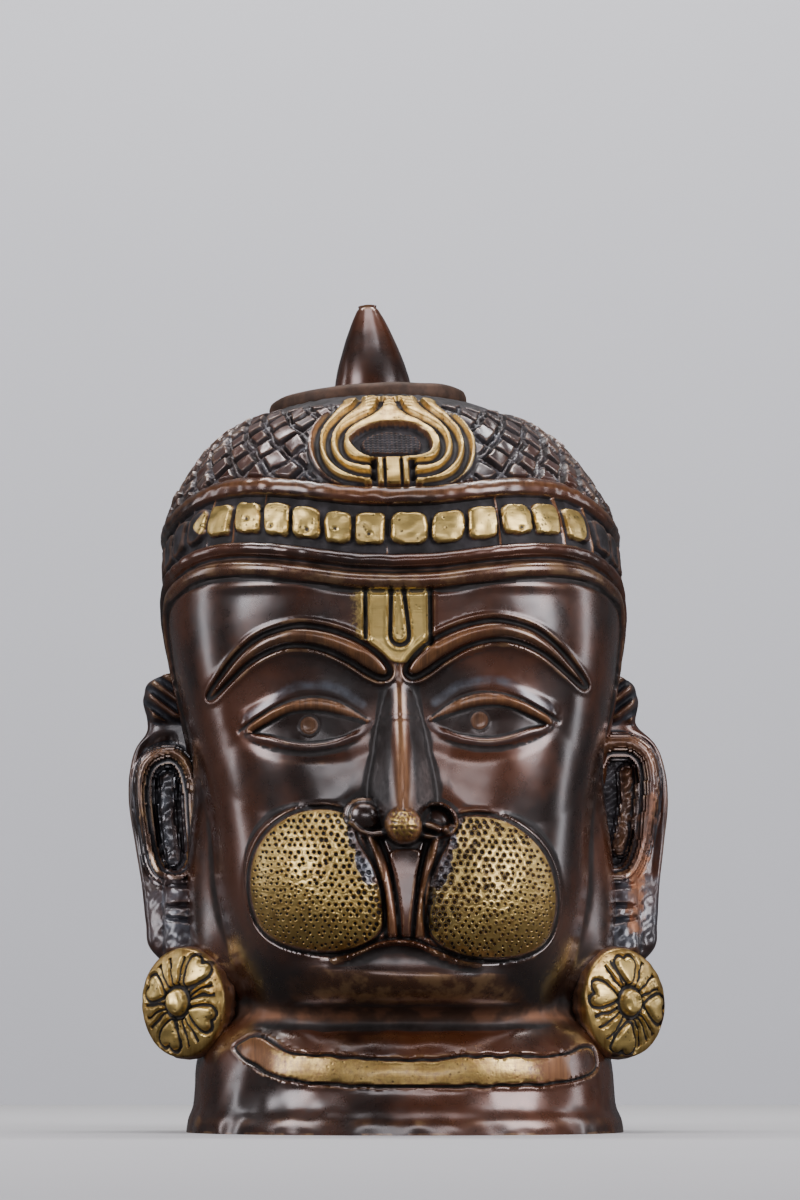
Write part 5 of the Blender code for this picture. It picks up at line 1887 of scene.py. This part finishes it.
class Effects:
    """The effects that the finishes share, each made once."""

    def __init__(self) -> None:
        """Builds every group."""
        self.clouds = self.make_clouds()
        self.brushing = self.make_brushing()
        self.pitting = self.make_pitting()
        self.ageing = self.make_ageing()
        self.casting = self.make_casting()

    def make_clouds(self) -> bpy.types.NodeTree:
        """Broad and fine variation of a patina."""
        graph, inside, out = new_group("patina_clouds", {"Scale": 30.0}, ("Broad", "Fine"))
        graph.feed(out["Broad"], graph.rise(graph.noise(inside["Scale"], 4.0), 0.36, 0.64))
        finer = graph.math("MULTIPLY", inside["Scale"], 5.3)
        graph.feed(out["Fine"], graph.rise(graph.noise(finer, 5.0, rough=0.62), 0.38, 0.66))
        return graph.tree

    def make_brushing(self) -> bpy.types.NodeTree:
        """Fine scratches of a wire brush, in two directions."""
        graph, inside, out = new_group("brush_marks", {"Scale": 220.0}, ("Along", "Across", "Height"))
        along = graph.noise(inside["Scale"], 3.0, (0.12, 0.5, 3.2), 0.7)
        across = graph.noise(inside["Scale"], 3.0, (3.2, 0.5, 0.10), 0.7)
        graph.feed(out["Along"], graph.rise(along, 0.35, 0.68))
        graph.feed(out["Across"], graph.rise(across, 0.35, 0.68))
        graph.feed(out["Height"], graph.math("MULTIPLY", graph.math("ADD", along, across), 0.5))
        return graph.tree

    def make_pitting(self) -> bpy.types.NodeTree:
        """Scattered pinholes of a sand casting."""
        graph, inside, out = new_group("pinholes", {"Scale": 420.0, "Share": 0.3}, ("Mask", "Height"))
        cells = graph.node("ShaderNodeTexVoronoi", feature="F1")
        graph.feed(cells.inputs["Vector"], graph.place())
        graph.feed(cells.inputs["Scale"], inside["Scale"])
        near = graph.math("SUBTRACT", 1.0, graph.rise(cells.outputs["Distance"], 0.10, 0.34))
        pick = graph.rise(graph.noise(graph.math("MULTIPLY", inside["Scale"], 0.3), 2.0), 0.46, 0.60)
        mask = graph.math("MULTIPLY", graph.math("MULTIPLY", near, pick), inside["Share"], clamp=True)
        graph.feed(out["Mask"], mask)
        graph.feed(out["Height"], graph.math("MULTIPLY", mask, -1.0))
        return graph.tree

    def make_ageing(self) -> bpy.types.NodeTree:
        """Dirt that stays in hollows, and wear along ridges."""
        graph, inside, out = new_group("ageing", {"Cavity": 0.0, "Reach": 0.2}, ("Dirt", "Wear"))
        broken = graph.scale(graph.noise(240.0, 4.0), -0.35, 0.35)
        share = graph.math("DIVIDE", inside["Cavity"], inside["Reach"])
        uneven = graph.math("ADD", share, broken)
        graph.feed(out["Dirt"], graph.rise(uneven, 0.30, 1.1))
        graph.feed(out["Wear"], graph.rise(graph.math("MULTIPLY", uneven, -1.0), 0.45, 1.35))
        return graph.tree

    def make_casting(self) -> bpy.types.NodeTree:
        """The grainy skin that the sand leaves on unpolished metal."""
        graph, inside, out = new_group("cast_skin", {"Scale": 340.0}, ("Tone", "Height"))
        grain = graph.noise(inside["Scale"], 5.0, rough=0.7)
        lumps = graph.noise(graph.math("MULTIPLY", inside["Scale"], 0.32), 3.0)
        graph.feed(out["Tone"], graph.rise(lumps, 0.38, 0.62))
        graph.feed(out["Height"], graph.math("ADD", graph.math("MULTIPLY", grain, 0.6), lumps))
        return graph.tree


@dataclass(frozen=True)
class PatinatedBrass:
    """Brown lacquered patina over brass, gold where it was brushed bare, black in the grooves."""

    name: str
    dark: Colour = (0.022, 0.0072, 0.0036)
    warm: Colour = (0.122, 0.0325, 0.0090)
    deep: Colour = (0.009, 0.0035, 0.0022)
    worn: Colour = (0.24, 0.100, 0.038)
    edge: Colour = (0.66, 0.44, 0.19)
    rubbed: Colour = (0.34, 0.150, 0.056)
    bloom: Colour = (0.125, 0.14, 0.17)
    gold: Colour = (0.82, 0.59, 0.20)
    gold_dark: Colour = (0.45, 0.27, 0.07)
    gold_shade: Colour = (0.30, 0.15, 0.035)
    soot: Colour = (0.012, 0.012, 0.015)
    soot_pale: Colour = (0.055, 0.056, 0.068)
    copper: Colour = (0.44, 0.20, 0.105)
    wear: float = 0.5
    edge_gold: float = 0.15  # how much bare gold the sharpest ridges show
    dirt_reach: float = 0.22

    def build(self, effects: Effects) -> bpy.types.Material:
        """Makes the material.

        Args:
            effects: The shared effects.

        Returns:
            A finished material.
        """
        material = bpy.data.materials.new(self.name)
        material.use_nodes = True
        graph = Graph(material.node_tree)
        shader = material.node_tree.nodes["Principled BSDF"]
        cavity, soot = graph.mark(Mark.CAVITY), graph.mark(Mark.SOOT)
        raw, gold_in = graph.mark(Mark.RAW), graph.mark(Mark.GOLD)
        clouds = graph.group(effects.clouds, Scale=26.0)
        brush = graph.group(effects.brushing, Scale=210.0)
        pits = graph.group(effects.pitting, Scale=520.0, Share=0.9)
        ageing = graph.group(effects.ageing, Cavity=cavity, Reach=self.dirt_reach)
        skin = graph.group(effects.casting, Scale=330.0)
        broken = graph.scale(graph.noise(700.0, 4.0, rough=0.65), -0.45, 0.45)
        is_gold = graph.rise(graph.math("ADD", gold_in, broken), -0.22, 0.28)
        dirt = graph.math("MULTIPLY", ageing.outputs["Dirt"], 0.92)
        wear = graph.math("MULTIPLY", ageing.outputs["Wear"], graph.scale(clouds.outputs["Fine"], 0.45, 1.0))
        is_raw = graph.math("MULTIPLY", raw, graph.scale(skin.outputs["Tone"], 0.75, 1.0), clamp=True)

        brown = graph.blend(clouds.outputs["Broad"], self.dark, self.warm)
        # The darkest patina; under the chin, in the eyes and on the finial's plate it is painted shade.
        brown = graph.blend(graph.math("MULTIPLY", graph.mark(Mark.DEEP), 0.85), brown, self.deep)
        brown = graph.blend(graph.math("MULTIPLY", wear, self.wear), brown, self.worn)
        bare = graph.math("MULTIPLY", graph.rise(wear, 0.55, 0.95), self.edge_gold)
        brown = graph.blend(bare, brown, self.edge)
        # Warm brown where the lacquer is rubbed; on the pouches' outer lower sides it is painted shade.
        is_rubbed = graph.math(
            "MULTIPLY", graph.mark(Mark.RUBBED), graph.scale(brush.outputs["Across"], 0.45, 1.0)
        )
        brown = graph.blend(is_rubbed, brown, self.rubbed)
        dull = graph.math("MULTIPLY", graph.mark(Mark.BLOOM), graph.scale(clouds.outputs["Fine"], 0.35, 1.0))
        tarnish = graph.math(
            "MULTIPLY", graph.math("ADD", brush.outputs["Along"], clouds.outputs["Fine"]), 0.5
        )
        thick = graph.scale(graph.rise(gold_in, 0.6, 2.8), 1.0, 0.45)
        tarnish = graph.math("MULTIPLY", graph.scale(tarnish, 0.0, 0.85), thick)
        brass = graph.blend(tarnish, self.gold, self.gold_dark)
        # Rubbed gold turns a darker brown gold, which on the pouches is painted shade.
        brass = graph.blend(graph.math("MULTIPLY", is_rubbed, 0.85), brass, self.gold_shade)
        brass = graph.blend(graph.math("MULTIPLY", pits.outputs["Mask"], 0.8), brass, self.soot)
        colour = graph.blend(is_gold, brown, brass)
        black = graph.blend(clouds.outputs["Fine"], self.soot, self.soot_pale)
        black = graph.blend(graph.math("MULTIPLY", wear, 0.35), black, self.worn)
        # Black on blackened ground and in hollows, and where black is painted as shade.
        soot_here = graph.rise(graph.math("ADD", soot, graph.math("MULTIPLY", broken, 0.35)), 0.30, 0.75)
        is_black = graph.math("MAXIMUM", soot_here, dirt)
        # The blue-grey bloom, which on the eyes is a painted highlight.
        colour = graph.blend(dull, colour, self.bloom)
        is_black = graph.math(
            "MULTIPLY", is_black, graph.math("SUBTRACT", 1.0, graph.math("MULTIPLY", dull, 0.75))
        )
        colour = graph.blend(is_black, colour, black)
        copper = graph.blend(graph.scale(skin.outputs["Tone"], 0.35, 0.85), self.soot_pale, self.copper)
        colour = graph.blend(is_raw, colour, copper)
        graph.feed(shader.inputs["Base Color"], colour)

        rough = graph.scale(clouds.outputs["Fine"], 0.26, 0.36)
        rough = graph.between(graph.math("MAXIMUM", is_rubbed, dull), rough, 0.42)
        rough = graph.between(is_gold, rough, graph.scale(brush.outputs["Along"], 0.30, 0.44))
        rough = graph.between(is_black, rough, 0.62)
        graph.feed(shader.inputs["Roughness"], graph.between(is_raw, rough, 0.55))
        metal = graph.between(is_black, graph.between(is_gold, 0.5, 0.9), 0.30)
        graph.feed(shader.inputs["Metallic"], graph.between(is_raw, metal, 0.85))
        covered = graph.math(
            "MAXIMUM", graph.math("MAXIMUM", is_black, is_raw), graph.math("MULTIPLY", is_gold, 0.8)
        )
        covered = graph.math("MAXIMUM", covered, graph.math("MULTIPLY", is_rubbed, 0.7))
        # Less coat on the darkest patina and on painted shade.
        covered = graph.math("MAXIMUM", covered, graph.math("MULTIPLY", graph.mark(Mark.DEEP), 0.45))
        graph.feed(shader.inputs["Coat Weight"], graph.scale(graph.math("SUBTRACT", 1.0, covered), 0.0, 1.0))
        shader.inputs["Coat Roughness"].default_value = 0.23
        shader.inputs["Coat IOR"].default_value = 1.75

        height = graph.math("MULTIPLY", clouds.outputs["Fine"], 0.05)
        height = graph.math("ADD", height, graph.math("MULTIPLY", brush.outputs["Height"], 0.10))
        height = graph.math(
            "ADD", height,
            graph.math("MULTIPLY", graph.math("MULTIPLY", brush.outputs["Height"], is_gold), 0.45)
        )
        height = graph.math(
            "ADD", height,
            graph.math("MULTIPLY", graph.math("MULTIPLY", pits.outputs["Height"], is_gold), 0.5)
        )
        grainy = graph.math("MAXIMUM", is_raw, graph.math("MULTIPLY", soot_here, 0.45))
        height = graph.math(
            "ADD", height,
            graph.math("MULTIPLY", graph.math("MULTIPLY", skin.outputs["Height"], grainy), 0.9)
        )
        bump = graph.node("ShaderNodeBump")
        bump.inputs["Strength"].default_value = 0.55
        bump.inputs["Distance"].default_value = 0.00035
        graph.feed(bump.inputs["Height"], height)
        graph.feed(shader.inputs["Normal"], bump.outputs["Normal"])
        return material


# The studio


@dataclass(frozen=True)
class Softbox:
    """One soft light: where it stands, its size and how strong it is."""

    name: str
    place: tuple[float, float, float]
    size: tuple[float, float]
    power: float
    colour: Colour = (0.95, 0.94, 1.0)
    target: tuple[float, float, float] | None = None


@dataclass
class Studio:
    """The plain floor and backdrop, the lights and the camera."""

    lights: tuple[Softbox, ...] = (
        Softbox("front_left", (-1.15, -0.80, 0.62), (0.60, 0.75), 11.0),
        Softbox("front_right", (1.15, -0.80, 0.62), (0.70, 0.80), 15.0),
        Softbox("front_glow", (0.05, -2.05, 0.37), (1.3, 0.34), 6.0),
        Softbox("overhead", (0.0, -0.35, 1.25), (0.9, 0.5), 6.0),
        Softbox("left_edge", (-1.15, 0.25, 0.35), (0.14, 0.80), 1.6),
        Softbox("right_edge", (1.15, 0.25, 0.35), (0.14, 0.80), 1.6),
        Softbox("wall_wash", (0.0, 0.35, 1.6), (1.8, 0.3), 30.0, (1.0, 1.0, 1.0), (0.0, 1.0, 0.35)),
    )
    room_light: float = 0.045
    bounce: float = 0.08  # how much of their colour the floor and backdrop give back to the brass

    focal: float = 117.0
    sensor: float = 36.0
    eye: tuple[float, float, float] = (-0.016, -1.430, 0.024)  # from the head's axis, on the floor
    pitch: float = 96.8
    backdrop_distance: float = 0.95
    backdrop_middle: float = 2.9
    stage_size: float = 6.0
    lit_point: tuple[float, float, float] = (0.0, 0.0, 0.15)
    room_colour: Colour = (0.84, 0.81, 0.83)
    floor_colour: Colour = (0.56, 0.55, 0.56)
    wall_colour: Colour = (0.64, 0.64, 0.67)

    def plain(self, name: str, colour: Colour) -> bpy.types.Material:
        """A matt material of one colour with a faint mottle."""
        material = bpy.data.materials.new(name)
        material.use_nodes = True
        graph = Graph(material.node_tree)
        shader = material.node_tree.nodes["Principled BSDF"]
        paler, dim = tuple(min(1.0, c * 1.05) for c in colour), tuple(c * self.bounce for c in colour)
        seen = graph.blend(graph.noise(7.0, 4.0), colour, paler)
        direct = graph.node("ShaderNodeLightPath").outputs["Is Camera Ray"]
        graph.feed(shader.inputs["Base Color"], graph.blend(direct, dim, seen))
        shader.inputs["Roughness"].default_value = 0.9
        from_behind = graph.node("ShaderNodeNewGeometry").outputs["Backfacing"]
        graph.feed(shader.inputs["Alpha"], graph.math("SUBTRACT", 1.0, from_behind))
        return material

    def sheet(self, name: str, colour: Colour, size: float, place: Vector, upright: bool) -> None:
        """Adds the floor or the backdrop."""
        deselect()
        turn = (math.pi / 2, 0, 0) if upright else (0, 0, 0)
        bpy.ops.mesh.primitive_plane_add(size=size, location=place, rotation=turn)
        made = bpy.context.object
        made.name = name
        bpy.ops.object.transform_apply(location=True, rotation=True, scale=True)
        made.data.materials.append(self.plain(name, colour))

    def softbox(self, made: Softbox, middle: tuple[float, float, float]) -> None:
        """Adds one rectangular soft light, aimed at a point."""
        light = bpy.data.lights.new(made.name, "AREA")
        light.shape = "RECTANGLE"
        light.size, light.size_y = made.size
        light.energy = made.power
        light.color = made.colour
        holder = bpy.data.objects.new(made.name, light)
        holder.location = made.place
        aim = Vector(made.target or middle) - Vector(made.place)
        holder.rotation_euler = aim.to_track_quat("-Z", "Y").to_euler()
        bpy.context.collection.objects.link(holder)

    def build(self) -> None:
        """Sets the stage, lights and camera."""
        axis = FORWARD * UNIT
        self.sheet("floor", self.floor_colour, self.stage_size, Vector((0, 0, 0)), False)
        behind = Vector((0, axis + self.backdrop_distance, self.backdrop_middle))
        self.sheet("backdrop", self.wall_colour, self.stage_size, behind, True)
        for light in self.lights:
            self.softbox(light, self.lit_point)
        world = bpy.data.worlds.new("soft_room")
        world.use_nodes = True
        background = world.node_tree.nodes["Background"]
        background.inputs["Color"].default_value = (*self.room_colour, 1)
        background.inputs["Strength"].default_value = self.room_light
        bpy.context.scene.world = world
        lens = bpy.data.cameras.new("camera")
        lens.lens = self.focal
        lens.sensor_width = self.sensor
        lens.sensor_fit = "AUTO"
        camera = bpy.data.objects.new("camera", lens)
        camera.location = (self.eye[0], self.eye[1] + axis, self.eye[2])
        camera.rotation_euler = (math.radians(self.pitch), 0, self.eye[0] / -self.eye[1])
        bpy.context.collection.objects.link(camera)
        bpy.context.scene.camera = camera


def main() -> None:
    """Builds every piece of the mask, dresses it and sets the studio."""
    logging.basicConfig(level=logging.INFO, format="%(name)s: %(message)s")
    effects = Effects()
    face_soot = {"soot": (0.010, 0.008, 0.007), "soot_pale": (0.030, 0.025, 0.024)}
    patina = PatinatedBrass("chestnut_patina", **face_soot).build(effects)
    crown_soot = {"soot": (0.015, 0.012, 0.012), "soot_pale": (0.046, 0.040, 0.044)}
    crown_patina = PatinatedBrass(
        "crown_patina", wear=0.45, edge_gold=0.2, dirt_reach=0.3, **crown_soot
    ).build(effects)
    ear_patina = PatinatedBrass("ear_patina", wear=0.8, edge_gold=0.3, dirt_reach=0.35).build(effects)
    flower_patina = PatinatedBrass("flower_patina", edge_gold=0.5, **face_soot).build(effects)

    band = HeadBand()
    cutters = Cutters()
    core, wide_core = cutters.core("core", WALL), cutters.core("wide_core", WALL - 1.3)
    flats = cutters.flats()

    head = FaceAndNeck(band)
    face = head.shape("face_and_neck")
    crown = Crown(band)
    crown_band, dome = crown.band_shape("crown_band"), crown.dome_shape("crown_dome")
    for made in (face, crown_band, dome):
        for cutter in (core, *flats):
            cut(made, cutter)
    finish_piece(face, patina)
    for side in Side:
        finish_piece(head.pouch(f"pouch_{side.name.lower()}", side), patina)
    finish_piece(crown_band, crown_patina)
    finish_piece(dome, crown_patina)
    for side, ear in (("left", Ear.left()), ("right", Ear.right())):
        made = ear.shape(f"ear_{side}")
        cut(made, wide_core)
        finish_piece(made, ear_patina)
    flowers = {
        "left": EarFlower(
            Side.LEFT, petals=(55, 158, 250, 335),
            rays=(85, 108, 128, 12, 24, 36, 185, 200, 214, 272, 288, 302)
        ),
        "right": EarFlower(
            Side.RIGHT, petals=(92, 168, 262, 352), rays=(116, 130, 200, 216, 236, 290, 305, 318, 20, 38, 62)
        )
    }
    for side, flower in flowers.items():
        made = flower.shape(f"ear_flower_{side}")
        cut(made, wide_core)
        finish_piece(made, flower_patina)
    finial = Finial().shape("finial_and_plate")
    cut(finial, wide_core)
    finish_piece(finial, patina)
    for cutter in (core, wide_core, *flats):
        bpy.data.objects.remove(cutter)
    Studio().build()


if __name__ == "__main__":
    main()
